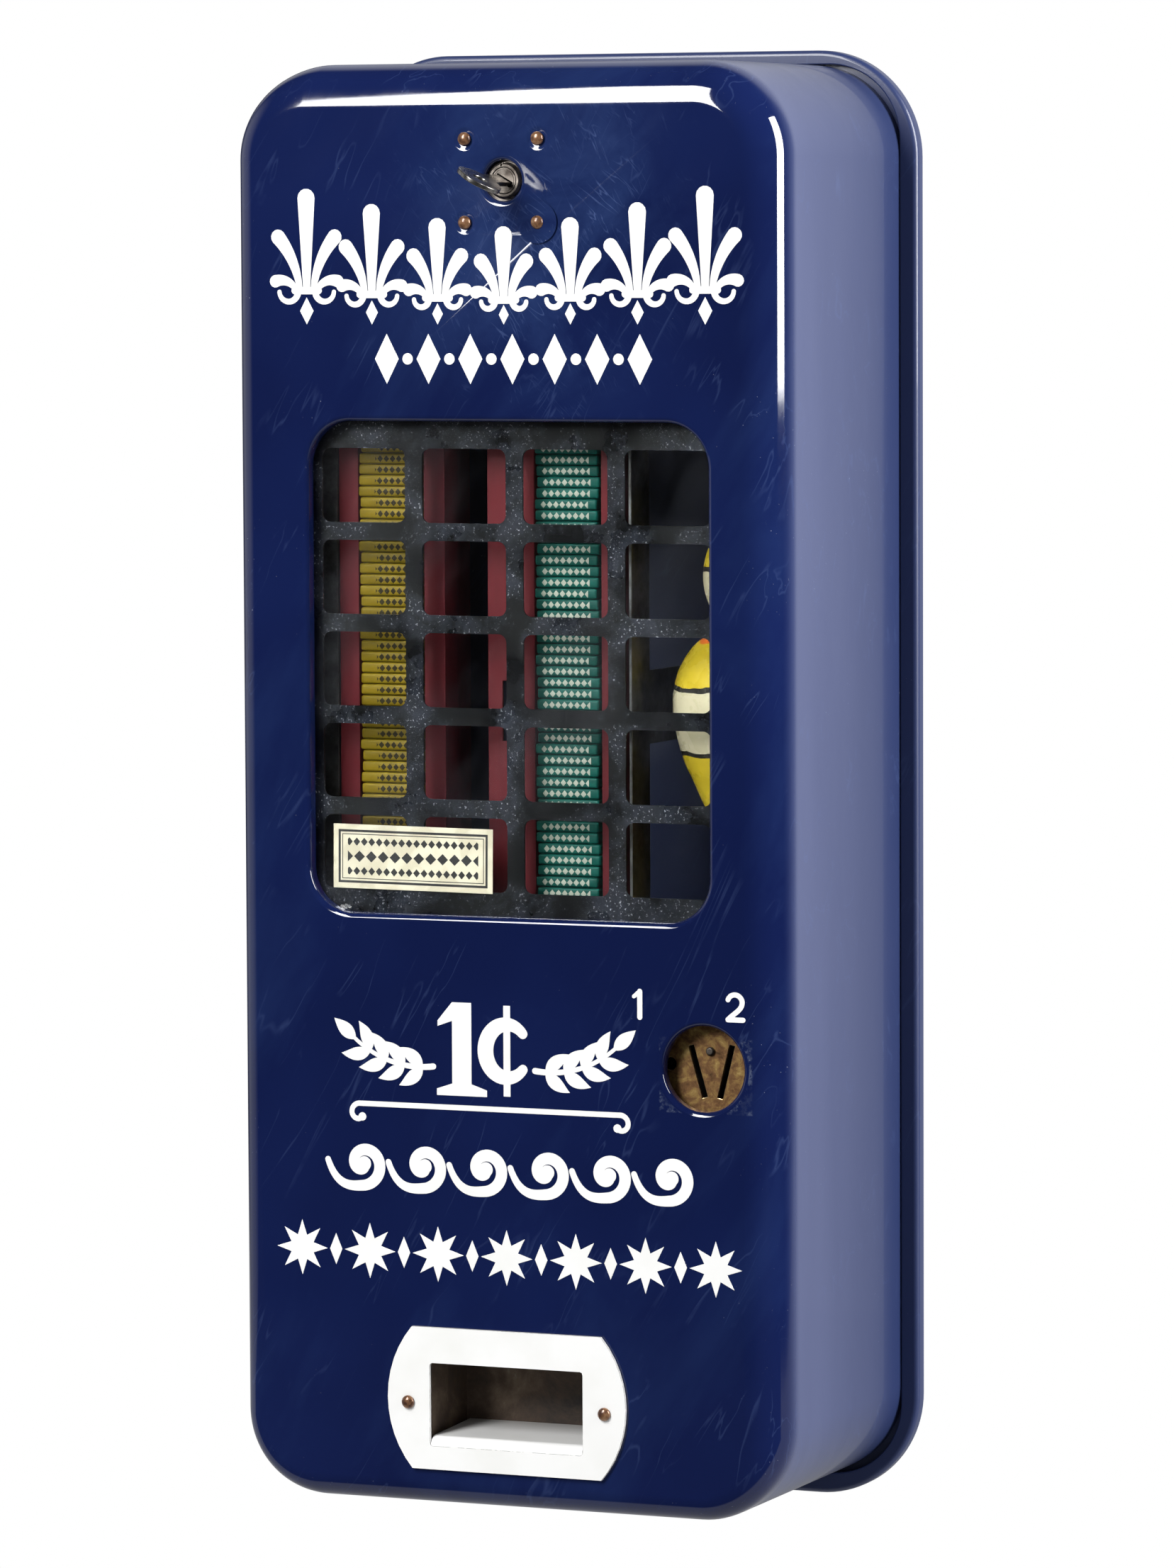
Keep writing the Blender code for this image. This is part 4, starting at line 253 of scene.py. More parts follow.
class Finish:
    """A Principled material and the noise nodes that drive it."""

    def __init__(self, name, colour, roughness, metallic=0.0):
        self.material = bpy.data.materials.new(name)
        self.material.use_nodes = True
        self.nodes = self.material.node_tree.nodes
        self.links = self.material.node_tree.links
        self.shader = self.nodes["Principled BSDF"]
        self.set("Base Color", (*colour, 1.0))
        self.set("Roughness", roughness)
        self.set("Metallic", metallic)
        self.coords = self.nodes.new("ShaderNodeTexCoord").outputs["Object"]
        self.height = None
        self.material.diffuse_color = (*colour, 1.0)

    def set(self, socket, value):
        self.shader.inputs[socket].default_value = value
        return self

    def join(self, one, other):
        self.links.new(one, other)

    def placed(self, stretch, turn=(0, 0, 0)):
        """The coordinates, turned and then scaled along each axis."""
        mapping = self.nodes.new("ShaderNodeMapping")
        mapping.vector_type = "TEXTURE"
        mapping.inputs["Scale"].default_value = [1 / share for share in stretch]
        mapping.inputs["Rotation"].default_value = turn
        self.join(self.coords, mapping.inputs["Vector"])
        return mapping.outputs["Vector"]

    def noise(self, scale, detail=4.0, rough=0.5, stretch=(1, 1, 1), turn=(0, 0, 0), warp=0.0):
        node = self.nodes.new("ShaderNodeTexNoise")
        node.inputs["Scale"].default_value = scale
        node.inputs["Detail"].default_value = detail
        node.inputs["Roughness"].default_value = rough
        node.inputs["Distortion"].default_value = warp
        self.join(self.placed(stretch, turn), node.inputs["Vector"])
        return node.outputs["Fac"]

    def ramp(self, value, stops):
        """A colour ramp; a stop is (place, grey or colour)."""
        node = self.nodes.new("ShaderNodeValToRGB")
        elements = node.color_ramp.elements
        while len(elements) < len(stops):
            elements.new(0.5)
        for element, (place, colour) in zip(elements, stops):
            element.position = place
            grey = isinstance(colour, (int, float))
            element.color = (colour,) * 3 + (1.0,) if grey else (*colour, 1.0)
        self.join(value, node.inputs["Fac"])
        return node.outputs["Color"]

    def mix(self, share, one, other):
        """Blend from one colour to another; either may be a colour or another node's output."""
        node = self.nodes.new("ShaderNodeMix")
        node.data_type = "RGBA"
        for socket, value in ((node.inputs[0], share), (node.inputs[6], one), (node.inputs[7], other)):
            if isinstance(value, bpy.types.NodeSocket):
                self.join(value, socket)
            else:
                socket.default_value = value if isinstance(value, (int, float)) else (*value, 1.0)
        return node.outputs[2]

    def math(self, operation, one, other=0.0, third=None):
        node = self.nodes.new("ShaderNodeMath")
        node.operation = operation
        for socket, value in zip(node.inputs, (one, other, third)):
            if isinstance(value, bpy.types.NodeSocket):
                self.join(value, socket)
            elif value is not None:
                socket.default_value = value
        return node.outputs[0]

    def colour(self, output):
        self.join(output, self.shader.inputs["Base Color"])
        return self

    def roughness(self, output):
        self.join(output, self.shader.inputs["Roughness"])
        return self

    def away(self, point):
        """Millimetres across, back and up from a point of the piece."""
        split = self.nodes.new("ShaderNodeSeparateXYZ")
        self.join(self.coords, split.inputs[0])
        return [
            self.math("MULTIPLY_ADD", split.outputs[axis], 1 / MM, -point[axis] / MM)
            for axis in range(3)
        ]

    def radius(self, x, up):
        squares = [self.math("MULTIPLY", value, value) for value in (x, up)]
        return self.math("SQRT", self.math("ADD", *squares))

    def fade(self, value, near, far):
        """1 up to the near value, and down to 0 at the far one."""
        node = self.nodes.new("ShaderNodeMapRange")
        node.interpolation_type = "SMOOTHSTEP"
        for title, number in (("From Min", near), ("From Max", far), ("To Min", 1), ("To Max", 0)):
            node.inputs[title].default_value = number
        self.join(value, node.inputs["Value"])
        return node.outputs[0]

    def product(self, *values):
        first, *rest = values
        for value in rest:
            first = self.math("MULTIPLY", first, value)
        return first

    def bump(self, output, depth, strength=1.0):
        """Raise the surface by a noise, depth in metres. Bumps stack on the ones before."""
        node = self.nodes.new("ShaderNodeBump")
        node.inputs["Strength"].default_value = strength
        node.inputs["Distance"].default_value = depth
        self.join(output, node.inputs["Height"])
        if self.height:
            self.join(self.height, node.inputs["Normal"])
        self.height = node.outputs["Normal"]
        self.join(self.height, self.shader.inputs["Normal"])
        return self


# %% Enamel
NAVY = (0.0041, 0.0086, 0.049)
NAVY_LIGHT = (0.0058, 0.0125, 0.067)
NAVY_RUBBED = (0.017, 0.036, 0.120)
# The walls' colours are painted light, paler than the front's navy, because the side lamp lights them
# and they mirror it. The last colour paints the rear edge lighter still, over the dark that the back
# plate's rim mirrors there.
SIDE_FRONT_PAINTED_LIGHT, SIDE_REAR_PAINTED_SHEEN, SIDE_END_PAINTED_LIGHT = (0.066, 0.082, 0.176), (0.016, 0.027, 0.090), (0.082, 0.098, 0.182)
# The back plate's navy is painted light: paler than the cover's, to make up for the cover's shadow over
# it, and laid in patches with its dust.
TRAY_DUST_PAINTED_LIGHT = (0.023, 0.042, 0.140)
SCRATCH, SPECK, TAPE = (0.070, 0.110, 0.26), (0.34, 0.37, 0.48), (0.060, 0.080, 0.145)
WHITE = (0.88, 0.88, 0.87)


def scratches(f, scale, turn):
    """Thin lines where a stretched noise crosses its middle, broken by a coarser one."""
    wave = f.noise(scale, 3, 0.5, (1, 1, 0.13), (0, turn, 0), 0.6)
    ridge = f.math("ABSOLUTE", f.math("SUBTRACT", wave, 0.5))
    broken = f.ramp(f.noise(scale * 0.45, 3), ((0.48, 0.0), (0.60, 1.0)))
    return f.product(f.ramp(ridge, ((0.0, 1.0), (0.012, 0.0))), broken)


def rubbed_share(f):
    """Where keys and hands have rubbed the front: round the lock and down from it."""
    x, back, up = f.away(at(16, 0, 456))
    reach = f.radius(x, f.math("MULTIPLY", up, 0.66))
    cloud = f.ramp(f.noise(36, 6, 0.62, (1, 1, 0.6), (0, 0.8, 0), 0.5), ((0.40, 0.05), (0.68, 1.0)))
    return f.product(f.fade(reach, 12, 66), f.fade(back, 0.5, 1.2), cloud)


def tape_share(f):
    """What is left of a square of tape that once covered the coin hole."""
    x, back, up = f.away(at(75.5, 0, 156.8))
    sides = [f.math("ABSOLUTE", value) for value in (x, up)]
    square = f.product(f.fade(sides[0], 17.0, 17.6), f.fade(sides[1], 12.9, 13.4))
    hole_x, _, hole_up = f.away(at(74.5, 0, 159.0))
    clear = f.math("GREATER_THAN", f.radius(hole_x, hole_up), 17.2)
    blots = f.ramp(f.noise(520, 6, 0.7), ((0.47, 0.0), (0.58, 1.0)))
    patches = f.ramp(f.noise(110, 3), ((0.42, 0.15), (0.58, 1.0)))
    return f.product(square, clear, f.fade(back, 0.5, 1.2), blots, patches)


def dulled_walls_and_painted_light(f):
    """The cover's walls, whose gloss cleaning has dulled, and where their painted light is strongest: at
    the front and at the rear edge.
    """
    _, back, _ = f.away(at(0, 0, 0))
    bands = f.ramp(f.noise(30, 4, 0.55, (1, 1, 0.12)), ((0.35, 0.80), (0.65, 1.0)))
    wall = f.product(f.math("SUBTRACT", 1.0, f.fade(back, 7, 17)), f.fade(back, 141.5, 142.0))
    rear = f.math("SUBTRACT", 1.0, f.fade(back, 117, 133))
    return wall, f.product(bands, f.fade(back, -30, 135)), rear


def tray_dust_and_painted_light(f):
    """The back plate's dust, with a paler navy in it that is painted light, making up for the cover's
    shadow over the plate.
    """
    _, back, _ = f.away(at(0, 0, 0))
    dust = f.ramp(f.noise(70, 6, 0.65, (1, 1, 0.3)), ((0.38, 0.10), (0.70, 1.0)))
    return f.product(f.math("SUBTRACT", 1.0, f.fade(back, 141.5, 142.0)), dust)


def blue_enamel():
    f = Finish("blue_enamel", NAVY, 0.05)
    deep = f.mix(f.ramp(f.noise(9, 3), ((0.42, 0.0), (0.72, 1.0))), NAVY, NAVY_LIGHT)
    smears = f.ramp(f.noise(15, 6, 0.6, (1, 1, 0.35), (0, 0.5, 0), 0.4), ((0.50, 0.0), (0.74, 0.42)))
    rubbed, tape, tray = rubbed_share(f), tape_share(f), tray_dust_and_painted_light(f)
    dull, towards_front, towards_rear = dulled_walls_and_painted_light(f)
    lines = f.math("MAXIMUM", scratches(f, 190, -0.85), scratches(f, 240, -0.45))
    shown = f.mix(smears, deep, NAVY_RUBBED)
    shown = f.mix(f.product(rubbed, 0.80), shown, NAVY_RUBBED)
    # Painted light: the walls take the paler colours above, lightest at the front and at the rear edge.
    walls = f.mix(towards_front, f.mix(towards_rear, SIDE_REAR_PAINTED_SHEEN, SIDE_END_PAINTED_LIGHT), SIDE_FRONT_PAINTED_LIGHT)
    # Painted light and dust: the back plate takes its paler navy where its dust lies.
    shown = f.mix(dull, f.mix(tray, shown, TRAY_DUST_PAINTED_LIGHT), walls)
    hairs = scratches(f, 75, 0.5)
    lines = f.math("MAXIMUM", f.product(lines, rubbed, 0.8), f.product(hairs, 0.16))
    shown = f.mix(lines, shown, SCRATCH)
    grit = f.ramp(f.noise(1100, 2, 0.7), ((0.735, 0.0), (0.765, 1.0)))
    strewn = f.ramp(f.noise(17, 4), ((0.48, 0.0), (0.66, 0.9)))
    shown = f.mix(f.product(grit, f.math("MAXIMUM", strewn, tray)), shown, SPECK)
    f.colour(f.mix(f.product(tape, 0.8), shown, TAPE))
    haze = f.noise(26, 6, 0.62, (1, 1, 0.35), (0.0, 0.55, 0.0), 0.6)
    rough = f.ramp(haze, ((0.47, 0.045), (0.80, 0.13)))
    for share, more in ((rubbed, 0.07), (tape, 0.40), (dull, 0.34), (tray, 0.34)):
        rough = f.math("MULTIPLY_ADD", share, more, rough)
    f.roughness(rough)
    f.bump(f.noise(16, 1.0), 0.00022)
    f.bump(f.noise(420, 2.0), 0.0000016)
    f.set("Coat Weight", 0.25).set("Coat Roughness", 0.03)
    return f.material


def white_enamel():
    f = Finish("white_enamel", WHITE, 0.08)
    f.colour(f.mix(f.ramp(f.noise(38, 4), ((0.45, 0.0), (0.85, 1.0))), WHITE, (0.80, 0.80, 0.77)))
    f.roughness(f.ramp(f.noise(60, 5), ((0.4, 0.06), (0.8, 0.14))))
    f.bump(f.noise(60, 2.0), 0.00006)
    return f.material


def chipped_edge():
    f = Finish("chipped_edge", (0.05, 0.045, 0.05), 0.55)
    chips = f.ramp(f.noise(420, 3), ((0.54, 0.0), (0.58, 1.0)))
    f.colour(f.mix(chips, (0.030, 0.027, 0.034), (0.62, 0.61, 0.58)))
    return f.material


BLUE = blue_enamel()
WHITE_GLAZE = white_enamel()
CHIPPED = chipped_edge()

# %% Paint and plated steel


def black_lacquer():
    """Old black lacquer under dust that lies in clouds, with white grains in it."""
    f = Finish("black_lacquer", (0.010, 0.011, 0.014), 0.32)
    grain = f.ramp(f.noise(1000, 2, 0.7), ((0.61, 0.0), (0.68, 1.0)))
    cloud = f.ramp(f.noise(60, 6, 0.68, warp=0.3), ((0.46, 0.0), (0.72, 1.0)))
    veil = f.mix(cloud, (0.002, 0.0023, 0.003), (0.024, 0.027, 0.038))
    f.colour(f.mix(f.product(grain, cloud), veil, (0.42, 0.43, 0.47)))
    f.roughness(f.ramp(f.noise(50, 5), ((0.35, 0.24), (0.75, 0.60))))
    f.bump(f.noise(700, 3), 0.00002)
    f.set("Specular IOR Level", 0.2)
    return f.material


def bright_edge():
    f = Finish("bright_edge", (0.40, 0.41, 0.43), 0.30, 1.0)
    f.colour(f.ramp(f.noise(300, 3), ((0.44, (0.02, 0.02, 0.025)), (0.62, (0.34, 0.35, 0.38)))))
    return f.material


def maroon_paint():
    f = Finish("maroon_paint", (0.155, 0.030, 0.037), 0.38)
    streaks = f.noise(30, 5, 0.6, (1, 1, 0.12))
    f.colour(f.ramp(streaks, ((0.32, (0.055, 0.006, 0.009)), (0.70, (0.130, 0.012, 0.017)))))
    f.roughness(f.ramp(f.noise(80, 4), ((0.3, 0.36), (0.8, 0.58))))
    f.bump(f.noise(500, 2), 0.00001)
    f.set("Specular IOR Level", 0.15)
    return f.material


def worn_steel(name, light, dark, rough, scale=70):
    """Steel whose plating is half gone: two tones, and roughness that changes between them."""
    f = Finish(name, light, 0.4, 1.0)
    f.colour(f.ramp(f.noise(scale, 6, 0.65), ((0.34, dark), (0.64, light))))
    f.roughness(f.ramp(f.noise(120, 5), ((0.3, rough[0]), (0.75, rough[1]))))
    f.bump(f.noise(260, 4, 0.5, (1, 1, 8)), 0.000012)
    return f.material


def tarnished_brass(name="tarnished_brass"):
    f = Finish(name, (0.42, 0.27, 0.10), 0.42, 1.0)
    patches = f.noise(90, 8, 0.68, warp=0.4)
    brown = ((0.28, (0.075, 0.040, 0.020)), (0.46, (0.26, 0.150, 0.060)))
    f.colour(f.ramp(patches, brown + ((0.62, (0.46, 0.30, 0.12)), (0.80, (0.34, 0.22, 0.12)))))
    f.roughness(f.ramp(patches, ((0.3, 0.62), (0.7, 0.30))))
    f.bump(f.noise(500, 5), 0.00003)
    return f.material


def coin_brass():
    """Brown brass with patches rubbed to yellow."""
    f = Finish("coin_brass", (0.20, 0.12, 0.05), 0.45, 0.75)
    patches = f.noise(240, 8, 0.7, warp=0.5)
    brown = ((0.30, (0.070, 0.035, 0.014)), (0.47, (0.220, 0.113, 0.048)))
    gold = ((0.60, (0.42, 0.265, 0.090)), (0.74, (0.68, 0.50, 0.20)))
    f.colour(f.ramp(patches, brown + gold))
    f.roughness(f.ramp(patches, ((0.3, 0.55), (0.8, 0.34))))
    f.bump(f.noise(1500, 4), 0.00002)
    return f.material


def slot_edge():
    f = Finish("slot_edge", (0.80, 0.62, 0.34), 0.28, 1.0)
    f.colour(f.ramp(f.noise(900, 3), ((0.35, (0.42, 0.27, 0.12)), (0.60, (0.86, 0.70, 0.42)))))
    return f.material


def browned_copper():
    f = Finish("browned_copper", (0.22, 0.11, 0.06), 0.24, 0.35)
    spots = f.noise(560, 4)
    warm = ((0.36, (0.080, 0.036, 0.022)), (0.58, (0.25, 0.125, 0.062)), (0.80, (0.42, 0.27, 0.16)))
    f.colour(f.ramp(spots, warm))
    f.roughness(f.ramp(spots, ((0.3, 0.36), (0.8, 0.14))))
    f.bump(f.noise(900, 3), 0.00002)
    f.set("Coat Weight", 0.4).set("Coat Roughness", 0.06)
    return f.material


def brown_patina():
    f = Finish("brown_patina", (0.05, 0.034, 0.026), 0.62, 0.35)
    rust = f.noise(62, 8, 0.7, warp=0.3)
    dark = ((0.30, (0.040, 0.033, 0.030)), (0.50, (0.112, 0.078, 0.057)))
    f.colour(f.ramp(rust, dark + ((0.66, (0.21, 0.155, 0.110)), (0.80, (0.40, 0.39, 0.33)))))
    f.roughness(f.ramp(rust, ((0.3, 0.45), (0.8, 0.85))))
    f.bump(f.noise(300, 6), 0.00012)
    return f.material


BLACK = black_lacquer()
EDGE = bright_edge()
MAROON = maroon_paint()
STEEL = worn_steel("worn_steel", (0.26, 0.26, 0.27), (0.09, 0.085, 0.08), (0.30, 0.55))
LOCK_STEEL = worn_steel("lock_steel", (0.24, 0.215, 0.19), (0.060, 0.050, 0.043), (0.32, 0.52), 160)
KEY_NICKEL = worn_steel("key_nickel", (0.46, 0.45, 0.42), (0.12, 0.11, 0.10), (0.20, 0.40), 160)
BRASS = tarnished_brass()
COIN_BRASS = coin_brass()
SLOT_EDGE = slot_edge()
COPPER = browned_copper()
PATINA = brown_patina()

# %% [markdown]
# ## The cover
# The cover is one deep-drawn shell. Its front meets the walls in a full round, the window's edge
# is rolled inwards, and the coin hole and the lock's dish are pressed. A loft through rounded
# rectangles follows the drawing die exactly, and Boolean cuts press in the two round holes.
# Large flat areas with rounded edges need weighted normals, or their reflections would bend.

# %% Draw the shell
FILLET_STEPS = 18
ROUNDS = LEFT, RIGHT, TOP, FOOT = 10.0, 15.0, 16.0, 9.0
LIP_STEPS = 8
LIP_R = 2.2
LIP_DEEP = 5.0
WINDOW_X, WINDOW_UP = 0.8, 296.0
WINDOW_HALF_W, WINDOW_HALF_H, WINDOW_R = 76.0, 86.65, 16.0
COVER_HALF_W, COVER_HALF_H = COVER_W / MM / 2, COVER_H / MM / 2
REAR = (cover_high.y - FRONT) / MM


def drawn_in(radius, back):
    """How far a round of this radius has drawn in the outline at a depth."""
    return radius - math.sqrt(radius**2 - max(radius - back, 0) ** 2)


def shell_ring(back, wall=0.0):
    """The cover's outline at a depth; each side has a round of its own."""
    left, right, top, foot = (wall + drawn_in(r - wall, back - wall) for r in ROUNDS)
    half_w, half_h = COVER_HALF_W - (left + right) / 2, COVER_HALF_H - (top + foot) / 2
    middle = (left - right) / 2, COVER_HALF_H + (foot - top) / 2
    outline = rounded(half_w, half_h, COVER_R / MM - top, *middle)
    return [at(x, back, up) for x, up in outline]


def face_depth(x, up):
    """How far the drawn face lies behind its own front plane at a point."""
    edges = COVER_HALF_W + x, COVER_HALF_W - x, 2 * COVER_HALF_H - up, up
    return max(drawn_in(radius, edge) for radius, edge in zip(ROUNDS, edges))


def window_ring(grow, back):
    outline = rounded(
        WINDOW_HALF_W + grow, WINDOW_HALF_H + grow, WINDOW_R + grow, WINDOW_X, WINDOW_UP
    )
    return [at(x, back, up) for x, up in outline]


def arc(steps):
    return [math.pi / 2 * step / steps for step in range(steps + 1)]


def drawn_shell():
    wall = SHEET / MM
    rings = [shell_ring(REAR)]
    rings += [shell_ring(TOP * (1 - math.sin(angle))) for angle in arc(FILLET_STEPS)]
    for angle in arc(LIP_STEPS):
        rings.append(window_ring(LIP_R * (1 - math.sin(angle)), LIP_R * (1 - math.cos(angle))))
    rings += [window_ring(0, LIP_DEEP), window_ring(wall, LIP_DEEP)]
    rings += [window_ring(wall, LIP_R), window_ring(LIP_R, wall)]
    for angle in reversed(arc(FILLET_STEPS // 2)):
        rings.append(shell_ring(wall + (TOP - wall) * (1 - math.sin(angle)), wall))
    rings.append(shell_ring(REAR, wall))
    return loft(rings, closed=True)


cover = mesh_object("cover_shell", drawn_shell(), BLUE)
print("shell faces", len(cover.data.polygons))

# %% [markdown]
# The coin hole, the lock's hole and the rivet seats are turned cutters. Each one follows the
# rolled edge with a quarter round, so the cut leaves the lip that the press tool leaves.

# %% Press the holes
COIN_X, COIN_UP, COIN_R, COIN_FLARE, COIN_DEEP = 74.5, 159.0, 15.0, 2.0, 4.5
LOCK_UP, LOCK_R, LOCK_FLARE, LOCK_DEEP = 466.4, 7.1, 2.0, 3.8
DISH_R, DISH_FLAT_R, DISH_DEEP = 16.4, 9.4, 0.5
OVERRUN = 4.0
ENTRY_SLOPE = math.radians(14)
RIVET_R, RIVET_DIMPLE, SEAT_W = 2.4, 0.40, 2.0
LOCK_RIVETS = [(sx * 13.8, LOCK_UP + sh * 14.5) for sh in (1, -1) for sx in (-1, 1)]
PLATE_RIVETS = [(-37.6, 36.6), (37.6, 36.6)]


def flare(radius, width, level, steps=8):
    """The quarter round from the face down into a hole, from the hole's wall outwards."""
    points = []
    for step in range(steps):
        angle = math.pi / 2 * (1 - step / steps)
        points.append((radius + width * (1 - math.sin(angle)), level - width * (1 - math.cos(angle))))
    return points


def coin_cutter():
    profile = [(0, -COIN_DEEP - OVERRUN), (COIN_R, -COIN_DEEP - OVERRUN)]
    profile += flare(COIN_R, COIN_FLARE, 0)
    last_r, last_level = profile[-1]
    reach = (OVERRUN - last_level) / math.tan(ENTRY_SLOPE)
    profile += [(last_r + reach, OVERRUN), (0, OVERRUN)]
    return turned(profile, at(COIN_X, 0, COIN_UP), steps=96)


def coin_lip():
    wall = SHEET / MM
    profile = [(0, -COIN_DEEP), (COIN_R + wall, -COIN_DEEP), (COIN_R + wall, -COIN_FLARE)]
    profile += [(COIN_R + COIN_FLARE, -wall), (COIN_R + COIN_FLARE, -wall / 2), (0, -wall / 2)]
    return turned(profile, at(COIN_X, 0, COIN_UP), steps=96)


def lock_cutter():
    slope = DISH_DEEP / (DISH_R - DISH_FLAT_R)
    profile = [(0, -LOCK_DEEP - OVERRUN), (LOCK_R, -LOCK_DEEP - OVERRUN)]
    profile += flare(LOCK_R, LOCK_FLARE, -DISH_DEEP)
    profile += [(LOCK_R + LOCK_FLARE, -DISH_DEEP), (DISH_FLAT_R, -DISH_DEEP)]
    profile += [(DISH_R + OVERRUN, OVERRUN * slope), (0, OVERRUN * slope)]
    return turned(profile, at(0, 0, LOCK_UP), steps=96)


def lock_lip():
    wall = SHEET / MM
    level = -wall - DISH_DEEP
    profile = [(0, -LOCK_DEEP), (LOCK_R + wall, -LOCK_DEEP), (LOCK_R + wall, level - 0.3)]
    profile += [(LOCK_R + wall + 0.3, level), (DISH_FLAT_R, level), (DISH_R + wall, -wall * 0.75)]
    profile += [(0, -wall * 0.75)]
    return turned(profile, at(0, 0, LOCK_UP), steps=96)


def rivet_seat(x, up):
    """The shallow dimple that the rivet set leaves in the sheet."""
    profile = [(0, -RIVET_DIMPLE), (RIVET_R, -RIVET_DIMPLE)]
    for step in range(1, 9):
        rise = (1 - math.cos(math.pi * step / 8)) / 2
        profile.append((RIVET_R + SEAT_W * step / 8, RIVET_DIMPLE * (rise - 1)))
    profile += [(RIVET_R + SEAT_W + 3, 0.6), (0, 0.6)]
    return turned(profile, at(x, 0, up), steps=64)


def delivery_cut():
    return slab(rounded(31.3, 16.3, 0.5, 0, 36.6, 2), -OVERRUN, 5.0)


cut(cover, coin_lip(), lock_lip(), operation="UNION")
cut(cover, coin_cutter(), lock_cutter(), delivery_cut())
cut(cover, *[rivet_seat(x, up) for x, up in LOCK_RIVETS])
evened(cover, 30)
settle(cover, "cover", "navy_enamel", "front_cover")
print("cover faces", len(cover.data.polygons))

# %% [markdown]
# ## The back plate
# The back plate is a shallow tray: the cover sits in its dish, and its rim stands proud all
# round and turns back to the wall. It is the same enamel, and its rounded rim catches a thin line
# of light, so it is lofted again with more rings.

# %% Loft the tray
tray_low, tray_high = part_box("back_plate")
TRAY_HALF_W = (tray_high.x - tray_low.x) / MM / 2
TRAY_HALF_H = (tray_high.z - tray_low.z) / MM / 2
TRAY_UP = ((tray_high.z + tray_low.z) / 2 - BASE) / MM
TRAY_R, TRAY_DISH_R, RIM, RIM_ROLL = 38.3, 27.0, 5.5, 2.0
WALL_BACK = (tray_high.y - FRONT) / MM


def tray_ring(inset, proud):
    outline = rounded(TRAY_HALF_W - inset, TRAY_HALF_H - inset, TRAY_R - inset, 0, TRAY_UP)
    return [at(x, WALL_BACK - proud, up) for x, up in outline]


def dish_ring(grow, proud):
    gap = 0.2
    outline = rounded(
        COVER_HALF_W + gap + grow, COVER_HALF_H + gap + grow, TRAY_DISH_R + grow, 0, COVER_HALF_H
    )
    return [at(x, WALL_BACK - proud, up) for x, up in outline]


def tray():
    wall = SHEET / MM
    rings = [dish_ring(wall, 0), dish_ring(wall, RIM - wall), tray_ring(wall, RIM - wall)]
    rings += [tray_ring(wall, 0), tray_ring(0, 0)]
    for angle in arc(8):
        rings.append(tray_ring(RIM_ROLL * (1 - math.cos(angle)), RIM - RIM_ROLL * (1 - math.sin(angle))))
    round_in = 0.6
    for angle in arc(5):
        rings.append(dish_ring(round_in * (1 - math.sin(angle)), RIM - round_in * (1 - math.cos(angle))))
    rings.append(dish_ring(0, wall))
    return loft(rings)


def screw_hole(x, up):
    return turned([(0, -3.0), (2.4, -3.0), (2.4, 3.0), (0, 3.0)], at(x, WALL_BACK, up), steps=32)


back = mesh_object("back_tray", tray(), BLUE)
cut(back, *[screw_hole(x, up) for x in (-70, 70) for up in (50, 455)])
evened(back, 30)
settle(back, "chassis", "navy_enamel", "back_plate")
print("tray faces", len(back.data.polygons))

# %% [markdown]
# ## Pieces that repeat
# Rivets, gum packs and the motifs of a border are one template each, set out on points. A
# Geometry Nodes tree does it: it shifts each point a little, stands a copy of the template on it,
# turns the copy a little, and makes everything real again. Stock that was loaded by hand never
# lies quite true, and the two random inputs give it that.

# %% Geometry Nodes trees


class Tree:
    """A Geometry Nodes tree with named inputs."""

    def __init__(self, name, **kinds):
        self.group = bpy.data.node_groups.new(name, "GeometryNodeTree")
        face = self.group.interface
        face.new_socket("Geometry", in_out="OUTPUT", socket_type="NodeSocketGeometry")
        self.ids = {}
        for title, kind in kinds.items():
            socket = face.new_socket(title, in_out="INPUT", socket_type=f"NodeSocket{kind}")
            self.ids[title] = socket.identifier
        self.inputs = self.group.nodes.new("NodeGroupInput").outputs

    def add(self, kind, links, **settings):
        """Add a node, set its properties, and link or set its sockets by name or number."""
        node = self.group.nodes.new(kind)
        for key, value in settings.items():
            setattr(node, key, value)
        for title, value in links.items():
            if isinstance(value, bpy.types.NodeSocket):
                self.group.links.new(value, node.inputs[title])
            elif isinstance(value, (list, tuple)) and isinstance(value[0], bpy.types.NodeSocket):
                for one in value:
                    self.group.links.new(one, node.inputs[title])
            else:
                node.inputs[title].default_value = value
        return node.outputs

    def close(self, geometry, material):
        """Make the instances real, give them their finish and end the tree."""
        real = self.add("GeometryNodeRealizeInstances", {"Geometry": geometry})
        done = self.add("GeometryNodeSetMaterial", {"Geometry": real[0], "Material": material})
        self.add("NodeGroupOutput", {"Geometry": done[0]})
        return self

    def grown(self, name, points=(), **values):
        """Run the tree on some points and keep the result as a plain mesh."""
        mesh = bpy.data.meshes.new(name)
        mesh.from_pydata([tuple(point) for point in points], [], [])
        obj = bpy.data.objects.new(name, mesh)
        bpy.context.scene.collection.objects.link(obj)
        modifier = obj.modifiers.new("tree", "NODES")
        modifier.node_group = self.group
        for title, value in values.items():
            modifier[self.ids[title]] = value
        return applied(obj)


def random_vector(tree, seed_shift):
    """A random vector of -1 to 1 along each axis for each point."""
    seed = tree.add("ShaderNodeMath", {0: tree.inputs["Seed"], 1: seed_shift}, operation="ADD")
    links = {0: (-1, -1, -1), 1: (1, 1, 1), "Seed": seed[0]}
    return tree.add("FunctionNodeRandomValue", links, data_type="FLOAT_VECTOR")[0]


